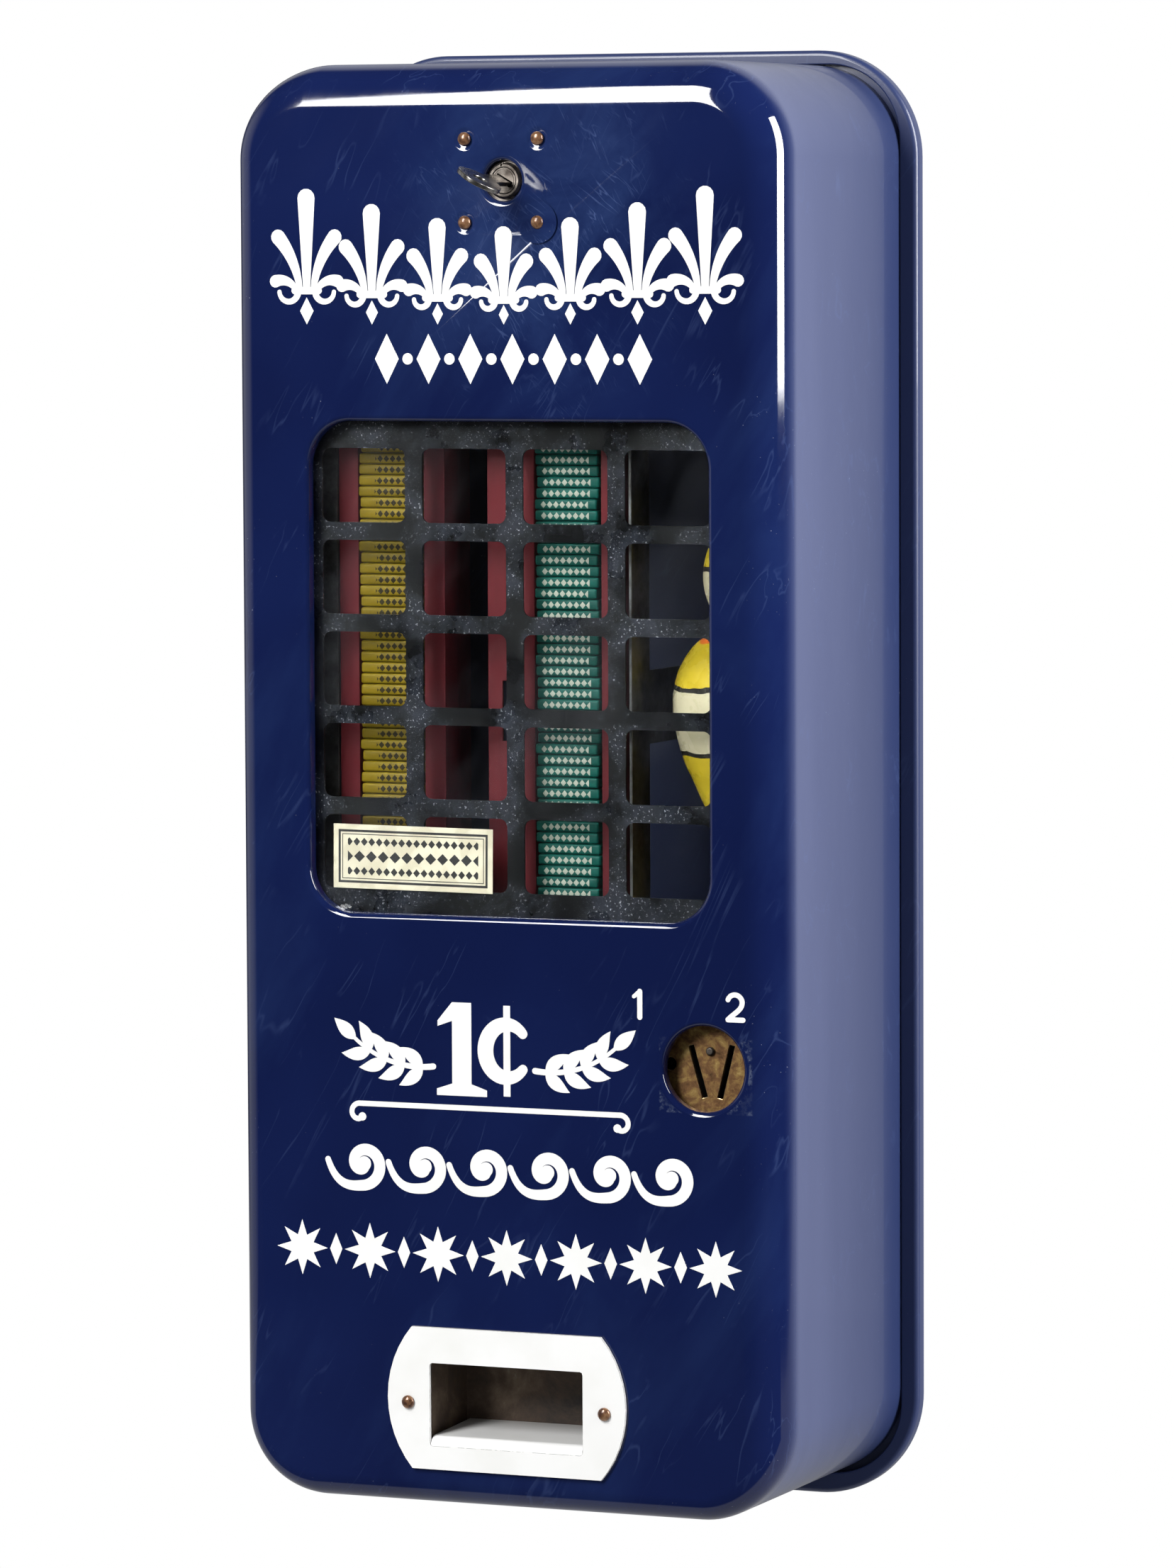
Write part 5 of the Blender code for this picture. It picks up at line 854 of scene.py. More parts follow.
def set_out_tree():
    tree = Tree(
        "set_out",
        Points="Geometry",
        Template="Object",
        Shift="Vector",
        Turn="Vector",
        Seed="Int",
        Finish="Material",
    )
    given = tree.inputs
    shift = {0: random_vector(tree, 0), 1: given["Shift"]}
    turn = {0: random_vector(tree, 1), 1: given["Turn"]}
    offset = tree.add("ShaderNodeVectorMath", shift, operation="MULTIPLY")[0]
    angles = tree.add("ShaderNodeVectorMath", turn, operation="MULTIPLY")[0]
    places = tree.add("GeometryNodeSetPosition", {"Geometry": given["Points"], "Offset": offset})
    template = tree.add("GeometryNodeObjectInfo", {"Object": given["Template"]})
    links = {"Points": places[0], "Instance": template["Geometry"], "Rotation": angles}
    copies = tree.add("GeometryNodeInstanceOnPoints", links)
    shade = tree.add("FunctionNodeRandomValue", {"Seed": given["Seed"]}, data_type="FLOAT")[1]
    links = {"Geometry": copies[0], "Name": "shade", "Value": shade}
    marked = tree.add(
        "GeometryNodeStoreNamedAttribute", links, data_type="FLOAT", domain="INSTANCE"
    )
    return tree.close(marked[0], given["Finish"])


SET_OUT = set_out_tree()


def set_out(name, points, template, finish, shift=(0, 0, 0), turn=(0, 0, 0), seed=1):
    """Stand a copy of the template on each point, and remove the template."""
    values = {"Template": template, "Shift": shift, "Turn": turn, "Seed": seed, "Finish": finish}
    obj = SET_OUT.grown(name, points, **values)
    bpy.data.objects.remove(template)
    print(name, len(obj.data.polygons), "faces from", len(points), "points")
    return obj


# %% [markdown]
# ## White ornament
# The front's white decoration is glass too: a second enamel laid through a stencil and fired. It
# stands about a tenth of a millimetre proud and its edge is soft. Lobes, leaves, lozenges and
# stars are all outlines in millimetres, so each one is a formula. A curved stroke is a path with
# a width that swells or thins along it, as a sign painter's brush would leave it.

# %% Outlines by formula
PROUD = 0.12
KEYED_IN = 0.5


def lozenge(x, up, half_w, half_h):
    return [(x + half_w, up), (x, up + half_h), (x - half_w, up), (x, up - half_h)]


def disc(x, up, radius, steps=32):
    turns = [2 * math.pi * step / steps for step in range(steps)]
    return [(x + radius * math.cos(a), up + radius * math.sin(a)) for a in turns]


def star(x, up, outer, inner, points, start=90.0):
    outline = []
    for tip in range(2 * points):
        radius = inner if tip % 2 else outer
        angle = math.radians(start) + math.pi * tip / points
        outline.append((x + radius * math.cos(angle), up + radius * math.sin(angle)))
    return outline


def leaf(x, up, length, width, degrees, bend=0.0, steps=14):
    """A leaf from its stalk at (x, up); bend curls its tip, in degrees."""
    left, right = [], []
    px, ph = x, up
    for step in range(steps + 1):
        t = step / steps
        angle = math.radians(degrees + bend * t)
        half = width / 2 * math.sin(math.pi * t**0.8)
        left.append((px - half * math.sin(angle), ph + half * math.cos(angle)))
        right.append((px + half * math.sin(angle), ph - half * math.cos(angle)))
        px += length / steps * math.cos(angle)
        ph += length / steps * math.sin(angle)
    return right + left[-2:0:-1]


def ribbon(path, width, caps=6):
    """A stroke along (across, up) points. width(t) is its full width at share t of the path."""
    last = len(path) - 1
    headings = []
    for i in range(last + 1):
        before, after = path[max(i - 1, 0)], path[min(i + 1, last)]
        headings.append(math.atan2(after[1] - before[1], after[0] - before[0]))
    left, right = [], []
    for i, ((x, up), heading) in enumerate(zip(path, headings)):
        half = width(i / last) / 2
        left.append((x - half * math.sin(heading), up + half * math.cos(heading)))
        right.append((x + half * math.sin(heading), up - half * math.cos(heading)))

    def cap(point, heading, half):
        turns = [heading - math.pi / 2 + math.pi * (k + 1) / (caps + 1) for k in range(caps)]
        return [(point[0] + half * math.cos(a), point[1] + half * math.sin(a)) for a in turns]

    end = cap(path[-1], headings[-1], width(1) / 2)
    start = cap(path[0], headings[0] + math.pi, width(0) / 2)
    return right + end + left[::-1] + start


def sweep(x, up, length, degrees, bend=0.0, steps=14):
    """Points of a stroke that starts at (x, up) at an angle and turns by bend, in degrees."""
    points = [(x, up)]
    for step in range(steps):
        angle = math.radians(degrees + bend * (step + 0.5) / steps)
        x, up = x + length / steps * math.cos(angle), up + length / steps * math.sin(angle)
        points.append((x, up))
    return points


def heading_at(path, i):
    """The angle, in degrees, at which a path leaves its point i."""
    (x0, up0), (x1, up1) = path[i], path[i + 1]
    return math.degrees(math.atan2(up1 - up0, x1 - x0))


def onward(path, reach):
    """The point that lies straight ahead of a path's end."""
    angle = math.radians(heading_at(path, -2))
    return (path[-1][0] + reach * math.cos(angle), path[-1][1] + reach * math.sin(angle))


def spiral(x, up, inner, outer, turns, end_degrees, hand=1, steps=48):
    """A spiral from its eye outwards; hand 1 unwinds anticlockwise."""
    points = []
    for step in range(steps + 1):
        t = step / steps
        radius = inner + (outer - inner) * t
        angle = math.radians(end_degrees) - hand * 2 * math.pi * turns * (1 - t)
        points.append((x + radius * math.cos(angle), up + radius * math.sin(angle)))
    return points


def bezier(p0, p1, p2, p3, steps=16):
    """Points of a Bezier curve after its first."""
    points = []
    for step in range(1, steps + 1):
        t = step / steps
        weights = ((1 - t) ** 3, 3 * t * (1 - t) ** 2, 3 * t * t * (1 - t), t**3)
        points.append(
            tuple(sum(w * p[axis] for w, p in zip(weights, (p0, p1, p2, p3))) for axis in (0, 1))
        )
    return points


def swelling(thin, thick, peak=0.6):
    """A width that grows from thin to thick at the peak, and thins again."""

    def width(t):
        rise = t / peak if t < peak else (1 - t) / (1 - peak)
        return thin + (thick - thin) * math.sin(math.pi / 2 * rise)

    return width


def widening(thin, thick):
    """A width that changes evenly from the start of a stroke to its end."""
    return lambda t: thin + (thick - thin) * t


def mirrored(outline, about=0.0):
    return [(2 * about - x, up) for x, up in reversed(outline)]


def enamel(name, outlines, around=None):
    """Fire a set of overlapping outlines into one raised white piece."""
    first, *rest = [slab(outline, -PROUD, KEYED_IN) for outline in outlines]
    obj = mesh_object(name, first, WHITE_GLAZE)
    cut(obj, *rest, operation="UNION")
    obj.data.materials.clear()
    obj.data.materials.append(WHITE_GLAZE)
    bevelled(obj, 0.08, 2, 50)
    if around:
        obj.data.transform(Matrix.Translation(-at(around[0], 0, around[1])))
    return obj


def laid(obj):
    """Press a flat piece of enamel onto the face, where its edges curve away."""
    for vertex in obj.data.vertices:
        depth = face_depth(vertex.co.x / MM, (vertex.co.z - BASE) / MM)
        vertex.co.y += depth * MM
    return obj


# %% [markdown]
# The top row is of palmettes, one of the oldest ornaments there is: round lobes fan out from a
# band, over two small curls. They grow towards both ends of the row, because the lock's rivets
# need the room over its middle.

# %% Top row of palmettes
PALMETTE_FOOT, PALMETTE_PITCH, PALMETTE_MIDDLE = 416.5, 25.2, 0.8
PALMETTE_HEIGHTS = (47.5, 42, 37, 34, 37, 42, 47.5)


def row(count, pitch, middle=0.0):
    return [middle + (i - (count - 1) / 2) * pitch for i in range(count)]


def palmette(x, up, height):
    """Five round lobes over a band, two curls and a small lozenge."""
    band = up + 0.25 * height
    outlines = [
        ribbon(sweep(x, band, 0.75 * height - 3.2, 90), widening(2.6, 6.6)),
        ribbon([(x - 4.6, band), (x + 4.6, band)], widening(2.6, 2.6)),
        lozenge(x, up + 0.10 * height, 0.055 * height, 0.10 * height),
    ]
    for side in (1, -1):
        tall = sweep(x + side * 2.6, band, 0.44 * height, 90 - side * 6, -side * 36)
        low = sweep(x + side * 4.0, band, 0.13 * height + 3.4, 90 - side * 26, -side * 84)
        curl = sweep(x + side * 3.4, band - 1.0, 0.22 * height, -90 + side * 12, side * 165)
        outlines += [
            ribbon(tall, widening(2.0, 5.4)),
            ribbon(low, widening(1.8, 4.4)),
            ribbon(curl, widening(2.4, 1.6)),
        ]
    return outlines


def top_row():
    outlines = []
    for x, height in zip(row(len(PALMETTE_HEIGHTS), PALMETTE_PITCH, PALMETTE_MIDDLE), PALMETTE_HEIGHTS):
        outlines += palmette(x, PALMETTE_FOOT, height)
    return outlines


palmettes = enamel("palmettes", top_row())
settle(palmettes, "cover", "white_enamel")
print("palmettes", len(palmettes.data.polygons), "faces")

# %% [markdown]
# The borders repeat one motif each, so they are set out on points. Lozenges and beads stand
# under the palmettes; a running scroll and a row of stars fill the lower front.

# %% Borders


def border(name, outlines, xs, up):
    template = enamel(name + "_motif", outlines, around=(0, 0))
    points = [at(x, 0, up) for x in xs]
    return settle(laid(set_out(name, points, template, WHITE_GLAZE)), "cover", "white_enamel")


def running_scroll(height, pitch):
    """One unit of a running scroll, about the middle of its height."""
    curl = spiral(0.6, 0.8, 1.6, height * 0.42, 1.15, -95, hand=-1)
    low, tip = (-pitch * 0.42, -height * 0.40), (-pitch * 0.56, height * 0.10)
    tail = bezier(curl[-1], onward(curl, 5), low, tip)
    return [ribbon(curl + tail, swelling(2.2, 4.3, 0.55)), disc(1.0, 0.9, 2.6)]


border("lozenge_row", [lozenge(0, 0, 4.6, 8.8)], row(7, 16.0, 4.0), 404.5)
border("bead_row", [disc(0, 0, 2.0)], row(6, 16.0, 4.0), 404.5)
border("scroll_row", running_scroll(18.5, 23.5), row(6, 23.5, 3.0), 119.5)
border("star_row", [star(0, 0, 9.9, 4.7, 8)], row(7, 26.4), 89.5)
border("small_lozenge_row", [lozenge(0, 0, 2.4, 5.6)], row(6, 26.4), 89.5)

# %% [markdown]
# Below the window stands the price as plain numerals between two laurel sprays, over a rule that
# curls at its ends. The coin slots are numbered, one and two.

# %% Price, rule and slot numbers


def numeral_one(x, up, height, stroke):
    """A figure one with a flag at its head and a foot."""
    half, foot = stroke / 2, height * 0.10
    return [
        [(x - half, up), (x + half, up), (x + half, up + height), (x - half, up + height)],
        [
            (x - half, up + height),
            (x - half, up + height * 0.80),
            (x - stroke * 1.25, up + height * 0.74),
            (x - stroke * 1.25, up + height * 0.80),
        ],
        [
            (x - stroke * 1.3, up),
            (x + stroke * 1.3, up),
            (x + stroke * 1.3, up + foot * 0.7),
            (x + half, up + foot * 1.3),
            (x - half, up + foot * 1.3),
            (x - stroke * 1.3, up + foot * 0.7),
        ],
    ]


def cent_sign(x, up, radius, height):
    """An open ring with a bar through it."""
    opening = math.radians(42)
    steps = 40
    sweep = 2 * (math.pi - opening)
    path = []
    for step in range(steps + 1):
        angle = opening + sweep * step / steps
        path.append((x + radius * math.cos(angle), up + 1.15 * radius * math.sin(angle)))
    half = height / 2
    bar = [(x - 1.3, up - half), (x + 1.3, up - half), (x + 1.3, up + half), (x - 1.3, up + half)]
    return [ribbon(path, swelling(3.6, 6.0, 0.5)), bar]


PRICE_X, PRICE_UP = -8.3, 161.5


def spray(x, up):
    """A laurel spray that bends outwards and up from its stalk."""
    stem = sweep(x, up, SPRAY_LENGTH, -8, 50, 24)
    outlines = [ribbon(stem, widening(2.2, 1.3)), leaf(*stem[-2], 11.0, 5.0, heading_at(stem, -2))]
    for i in range(3, 23, 5):
        for side in (1, -1):
            outlines.append(leaf(*stem[i], 11.5, 4.8, heading_at(stem, i) + side * 50, -side * 30))
    return outlines


SPRAY_LENGTH = 33.5
laurel = spray(PRICE_X + 19.5, PRICE_UP - 5.5)
price = numeral_one(PRICE_X - 8.5, PRICE_UP - 15.5, 33, 7.4)
price += cent_sign(PRICE_X + 8.8, PRICE_UP + 1.0, 8.2, 32)
sign = enamel("price", price + laurel + [mirrored(outline, PRICE_X) for outline in laurel])
settle(laid(sign), "cover", "white_enamel")

RULE_LEFT, RULE_RIGHT, RULE_UP, RULE_T, CURL_R = -60.0, 47.0, 141.8, 1.9, 3.3


def rule_outlines():
    """A straight stroke with a small curl under each end."""
    left, right = RULE_LEFT + CURL_R, RULE_RIGHT - CURL_R
    outlines = [ribbon([(left, RULE_UP), (right, RULE_UP)], widening(RULE_T, RULE_T))]
    for x, hand in ((left, -1), (right, 1)):
        curl = spiral(x, RULE_UP - CURL_R, 1.9, CURL_R, 0.62, 90, hand, 24)
        outlines += [ribbon(curl, widening(RULE_T, RULE_T)), disc(*curl[0], 1.5)]
    return outlines


rule = enamel("rule", rule_outlines())
settle(laid(rule), "cover", "white_enamel")


def slot_numbers():
    """A plain 1 and 2, each nine millimetres tall."""
    one_x, two_x, up = 51.0, 86.6, 181.0
    top = spiral(two_x, up + 1.8, 2.7, 2.7, 0.5, -20, -1, 14)
    foot = up - 4.2
    neck = bezier(top[-1], onward(top, 1.8), (two_x - 0.6, up - 2.2), (two_x - 2.6, foot), 10)
    return [
        ribbon([(one_x, up + 4.4), (one_x, foot - 0.4)], widening(1.9, 1.9)),
        ribbon([(one_x, up + 4.3), (one_x - 2.2, up + 2.6)], widening(1.8, 1.4)),
        ribbon(top + neck, widening(1.8, 1.8)),
        ribbon([(two_x - 2.6, foot), (two_x + 3.0, foot)], widening(1.8, 1.8)),
    ]


numbers = enamel("slot_numbers", slot_numbers())
settle(laid(numbers), "cover", "white_enamel")
print("price", len(sign.data.polygons), "rule", len(rule.data.polygons), "faces")

# %% [markdown]
# ## Sheet metal and small fittings
# Brackets, frames and gears already have their true outlines in the model. What they lack is the
# broken edge that every stamped part has, which catches a line of light. A dressed copy of such a
# node gets that edge, smooth shading and its own finish.

# %% Dress a node
BODY_OF = {
    node: body for body, nodes in frame["record"]["behaviour"]["bodies"].items() for node in nodes
}
SLOT_OF = {part["node"]: part["material_slot"] for part in frame["record"]["subparts"]}


def copied(node, *materials):
    """A merged copy of a node's mesh."""
    mesh = frame["nodes"][node].data
    bm = bmesh.new()
    bm.from_mesh(mesh)
    bm.transform(frame["nodes"][node].matrix_world)
    obj = mesh_object(node + "_dressed", bm, *materials)
    for polygon in obj.data.polygons:
        polygon.material_index = 0
    return obj


def joined_flats(obj):
    """Turn coplanar triangles into whole faces, so that only real edges are left."""
    bm = bmesh.new()
    bm.from_mesh(obj.data)
    bmesh.ops.dissolve_limit(
        bm, angle_limit=math.radians(1), verts=bm.verts, edges=bm.edges, delimit={"NORMAL"}
    )
    bm.to_mesh(obj.data)
    bm.free()
    return obj


def dressed(node, finish, edge=0.15, segments=2, angle=35, rim=None):
    """Replace a node by its copy with broken edges, in a rim material if one is given."""
    obj = joined_flats(copied(node, finish, *([rim] if rim else [])))
    if edge:
        bevelled(obj, edge, segments, angle, 1 if rim else -1)
    evened(obj, angle)
    return settle(obj, BODY_OF[node], SLOT_OF[node], node)


# %% [markdown]
# ## Delivery opening
# A white surround is riveted over the opening. Its lower edge rolls back into the floor, and its
# outer edge has lost some glass, so the steel shows as a thin broken line. Behind it the chute is
# bare steel that has gone brown.

# %% Surround and chute
dressed("delivery_plate", WHITE_GLAZE, 0.28, 2, 50, rim=CHIPPED)
dressed("delivery_chute", PATINA, 0.2)

# %% [markdown]
# ## Rivets
# Six rivets hold the lock plate and the surround. Each is a low dome over a shank with a small
# formed tail. The set that closed them left each head turned its own way.

# %% Set the rivets
RIVETS = [f"lock_rivet_{i}" for i in range(1, 5)] + ["delivery_rivet_1", "delivery_rivet_2"]
HEAD_R, HEAD_H, SHANK_R = 2.4, 1.6, 1.3


def rivet_template():
    low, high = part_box(RIVETS[0])
    length = (high.y - low.y) / MM
    seat = length - HEAD_H
    profile = [(0, -length), (2.0, -length), (2.1, -length + 0.2), (2.1, -length + 0.9)]
    profile += [(SHANK_R, -length + 0.9), (SHANK_R, -HEAD_H), (HEAD_R, -HEAD_H)]
    for step in range(1, 12):
        angle = math.pi / 2 * step / 12
        profile.append((HEAD_R * math.cos(angle), -HEAD_H + HEAD_H * math.sin(angle)))
    profile.append((0, 0))
    return mesh_object("rivet", turned(profile, Vector((0, 0, 0)), steps=40), COPPER, smooth=50)


def rivet_points():
    points = []
    for node in RIVETS:
        low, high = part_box(node)
        points.append(((low.x + high.x) / 2, low.y, (low.z + high.z) / 2))
    return points


rivets = set_out("rivets", rivet_points(), rivet_template(), COPPER, turn=(0.02, math.pi, 0.02))
settle(rivets, "cover", "copper", *RIVETS)

# %% [markdown]
# ## Lock and key
# The lock's barrel sits a little below its dish. A slit at the top of its ring is the end of the
# pin chamber's cover. The key is a flat blade with a scalloped, pierced bow, and it stands in a
# keyway that is turned thirty degrees, so the bow hides half of the plug.

# %% Lock
PLUG_R, BARREL_DEEP = 4.5, 2.2


def slit(x, up, half_w, half_h, front, rear):
    corners = ((-1, -1), (1, -1), (1, 1), (-1, 1))
    return slab([(x + a * half_w, up + b * half_h) for a, b in corners], front, rear)


def groove(radius, width, back, deep):
    """A ring groove round the lock's axis."""
    profile = [(radius, 2.0), (radius + width, 2.0), (radius + width, -deep), (radius, -deep)]
    return turned(profile, at(0, back, LOCK_UP), steps=96)


barrel = joined_flats(copied("lock_barrel", LOCK_STEEL))
cut(barrel, slit(-0.9, LOCK_UP + 5.6, 0.28, 0.75, BARREL_DEEP - 1, BARREL_DEEP + 1.1))
cut(barrel, slit(0.6, LOCK_UP + 6.3, 1.3, 0.2, BARREL_DEEP - 1, BARREL_DEEP + 0.7))
evened(bevelled(barrel, 0.10, 2, 40), 40)
settle(barrel, "cover", "nickel", "lock_barrel")

plug = joined_flats(copied("lock_plug", LOCK_STEEL))
cut(plug, groove(PLUG_R - 0.75, 0.22, BARREL_DEEP + 0.2, 0.18))
evened(bevelled(plug, 0.12, 2, 40), 40)
settle(plug, "lock", "nickel", "lock_plug")

# %% Key
KEY_TURN = math.radians(30)
BOW_R, BOW_HOLE_R, BOW_AHEAD, KEY_T = 8.4, 2.6, 20.7, 1.6
SCALLOPS, SCALLOP_SHARE = 5, 0.06


def key_flat(outline, half_t):
    """An (across, ahead of the barrel) outline, thickened and turned to the keyway's slant."""
    across = Vector((math.cos(KEY_TURN), 0, -math.sin(KEY_TURN)))
    normal = Vector((math.sin(KEY_TURN), 0, math.cos(KEY_TURN)))
    middle = at(0, BARREL_DEEP, LOCK_UP)

    def corner(point, side):
        return middle + across * point[0] * MM + Vector((0, -1, 0)) * point[1] * MM + normal * side

    return loft([[corner(point, side * half_t * MM) for point in outline] for side in (-1, 1)])


def bow_outline(steps=80):
    """A disc with shallow scallops, open towards the neck."""
    points = []
    for step in range(steps + 1):
        angle = -math.pi / 2 + math.radians(22) + math.radians(316) * step / steps
        lobe = abs(math.cos(SCALLOPS / 2 * (angle - math.pi / 2)))
        radius = BOW_R * (1 - SCALLOP_SHARE + SCALLOP_SHARE * lobe**0.6)
        points.append((radius * math.cos(angle), BOW_AHEAD + radius * math.sin(angle)))
    return points


def key_outline():
    low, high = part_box("key")
    blade = (high.y - FRONT) / MM - BARREL_DEEP
    points = bow_outline()
    points += [(-2.9, 9.6), (-2.9, 1.6), (-3.0, 1.0), (-3.0, 1.6 - blade), (-1.4, -blade)]
    points += [(1.4, -blade), (3.0, 1.6 - blade), (3.0, 1.0), (2.9, 1.6), (2.9, 9.6)]
    return points


def key_hole(radius, half_t):
    return key_flat([(x, BOW_AHEAD + up) for x, up in disc(0, 0, radius, 40)], half_t)


key = mesh_object("key_turned", key_flat(key_outline(), KEY_T / 2), KEY_NICKEL)
cut(key, key_hole(BOW_HOLE_R, KEY_T))
evened(bevelled(key, 0.28, 3, 50), 45)
settle(key, "key", "nickel", "key")
print("key", len(key.data.polygons), "faces")

# %% [markdown]
# ## Window
# Behind the glass stands a pressed guard with twenty rounded openings. It is drawn as curves: an
# outer rectangle and the openings on a grid, filled, thickened and rounded off. Handling has worn
# the black off its edges, so the bevel has a finish of its own.

# %% Guard grille


def grille_tree():
    tree = Tree(
        "guard",
        Width="Float",
        Height="Float",
        Corner="Float",
        Across="Int",
        Up="Int",
        OpeningWidth="Float",
        OpeningHeight="Float",
        OpeningCorner="Float",
        PitchX="Float",
        PitchY="Float",
        Drop="Vector",
        Thickness="Float",
        Flange="Float",
        Place="Vector",
        Finish="Material",
    )
    given = tree.inputs

    def rounded_curve(width, height, radius, count):
        sides = {"Width": width, "Height": height}
        curve = tree.add("GeometryNodeCurvePrimitiveQuadrilateral", sides)
        links = {"Curve": curve[0], "Count": count, "Radius": radius, "Limit Radius": True}
        return tree.add("GeometryNodeFilletCurve", links, mode="POLY")[0]

    def span(count, pitch):
        less = tree.add("ShaderNodeMath", {0: count, 1: 1.0}, operation="SUBTRACT")
        return tree.add("ShaderNodeMath", {0: less[0], 1: pitch}, operation="MULTIPLY")[0]

    outer = rounded_curve(given["Width"], given["Height"], given["Corner"], 12)
    hole = rounded_curve(
        given["OpeningWidth"], given["OpeningHeight"], given["OpeningCorner"], 7
    )
    grid_links = {
        "Size X": span(given["Across"], given["PitchX"]),
        "Size Y": span(given["Up"], given["PitchY"]),
        "Vertices X": given["Across"],
        "Vertices Y": given["Up"],
    }
    grid = tree.add("GeometryNodeMeshGrid", grid_links)
    dropped = tree.add("GeometryNodeTransform", {"Geometry": grid[0], "Translation": given["Drop"]})
    links = {"Points": dropped[0], "Instance": hole}
    holes = tree.add("GeometryNodeInstanceOnPoints", links)
    real = tree.add("GeometryNodeRealizeInstances", {"Geometry": holes[0]})
    curves = tree.add("GeometryNodeJoinGeometry", {"Geometry": [outer, real[0]]})
    flat = tree.add("GeometryNodeFillCurve", {"Curve": curves[0]}, mode="NGONS")
    links = {"Mesh": flat[0], "Offset Scale": given["Thickness"], "Individual": False}
    raised = tree.add("GeometryNodeExtrudeMesh", links, mode="FACES")
    under = tree.add("GeometryNodeFlipFaces", {"Mesh": flat[0]})
    plate = tree.add("GeometryNodeJoinGeometry", {"Geometry": [raised[0], under[0]]})
    closed = tree.add("GeometryNodeMergeByDistance", {"Geometry": plate[0], "Distance": 1e-6})
    links = {"Geometry": closed[0], "Translation": given["Place"], "Rotation": (math.pi / 2, 0, 0)}
    stood = tree.add("GeometryNodeTransform", links)
    return tree.close(stood[0], given["Finish"])


def grille_flange(width, height, corner, x, up, back, deep, thickness):
    """The guard's rim, turned back along its outline."""
    rings = []
    for inset, level in ((0, back), (0, back + deep), (thickness, back + deep), (thickness, back)):
        outline = rounded(width / 2 - inset, height / 2 - inset, corner - inset, x, up, 12)
        rings.append([at(px, level, ph) for px, ph in outline])
    return loft(rings, closed=True)


guard_low, guard_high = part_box("guard_grille")
GUARD_W = (guard_high.x - guard_low.x) / MM
GUARD_H = (guard_high.z - guard_low.z) / MM
GUARD_X = (guard_high.x + guard_low.x) / MM / 2
GUARD_UP = ((guard_high.z + guard_low.z) / 2 - BASE) / MM
GUARD_BACK = (guard_low.y - FRONT) / MM
GUARD_T = 0.8
guard = grille_tree().grown(
    "guard",
    Width=GUARD_W * MM,
    Height=GUARD_H * MM,
    Corner=8.5 * MM,
    Across=4,
    Up=5,
    OpeningWidth=32.1 * MM,
    OpeningHeight=26.1 * MM,
    OpeningCorner=3.0 * MM,
    PitchX=38.6 * MM,
    PitchY=32.4 * MM,
    Drop=(0, (WINDOW_UP - GUARD_UP - 0.9) * MM, 0),
    Thickness=GUARD_T * MM,
    Place=tuple(at(GUARD_X, GUARD_BACK + GUARD_T, GUARD_UP)),
    Finish=BLACK,
)
deep = (guard_high.y - guard_low.y) / MM
rim = grille_flange(GUARD_W, GUARD_H, 8.5, GUARD_X, GUARD_UP, GUARD_BACK + 0.3, deep - 0.3, GUARD_T)
cut(guard, rim, operation="UNION")
guard.data.materials.clear()
guard.data.materials.append(BLACK)
guard.data.materials.append(EDGE)
joined_flats(guard)
evened(bevelled(guard, 0.20, 2, 40, 1), 40)
settle(guard, "cover", "black_paint", "guard_grille")
print("guard", len(guard.data.polygons), "faces")
for clip in ("grille_clip_top", "grille_clip_bottom"):
    dressed(clip, BLACK, 0.12)

# %% [markdown]
# ## Paper, label and packs
# The wrappers and the label are printed. Their print is drawn in the shader, from coordinates
# that are stored on the mesh in millimetres: a chain of lozenges stands where a wrapper would
# carry its words. Each pack reads the random shade that its copy was given.

# %% Print coordinates


def lay_print(obj, across, upwards, middle, size):
    """Store millimetres from the middle, divided by size, as a UV layer."""
    layer = obj.data.uv_layers.new(name="print")
    for loop in obj.data.loops:
        offset = obj.data.vertices[loop.vertex_index].co - middle
        layer.data[loop.index].uv = (offset.dot(across) / MM / size, offset.dot(upwards) / MM / size)
    return obj


class Printed(Finish):
    """Paper with print; x and y are millimetres from the middle."""

    def __init__(self, name, colour, roughness, size):
        super().__init__(name, colour, roughness)
        layer = self.nodes.new("ShaderNodeUVMap")
        layer.uv_map = "print"
        split = self.nodes.new("ShaderNodeSeparateXYZ")
        self.join(layer.outputs[0], split.inputs[0])
        self.x = self.math("MULTIPLY", split.outputs["X"], size)
        self.y = self.math("MULTIPLY", split.outputs["Y"], size)

    def below(self, value, limit):
        return self.math("LESS_THAN", value, limit)

    def within(self, value, low, high):
        return self.math("MULTIPLY", self.math("GREATER_THAN", value, low), self.below(value, high))

    def chain(self, up, pitch, height, left, right):
        """A row of lozenges at a height, between two places across."""
        phase = self.math("FRACT", self.math("DIVIDE", self.x, pitch))
        side = self.math("MULTIPLY", self.math("ABSOLUTE", self.math("SUBTRACT", phase, 0.5)), 2.0)
        rise = self.math("DIVIDE", self.math("ABSOLUTE", self.math("SUBTRACT", self.y, up)), height / 2)
        mark = self.below(self.math("ADD", side, rise), 0.92)
        return self.math("MULTIPLY", mark, self.within(self.x, left, right))


# %% Wrapper and label paper
PRINT_UNIT = 40.0
PACK_W, PACK_L, PACK_T = 23.8, 38.0, 3.9


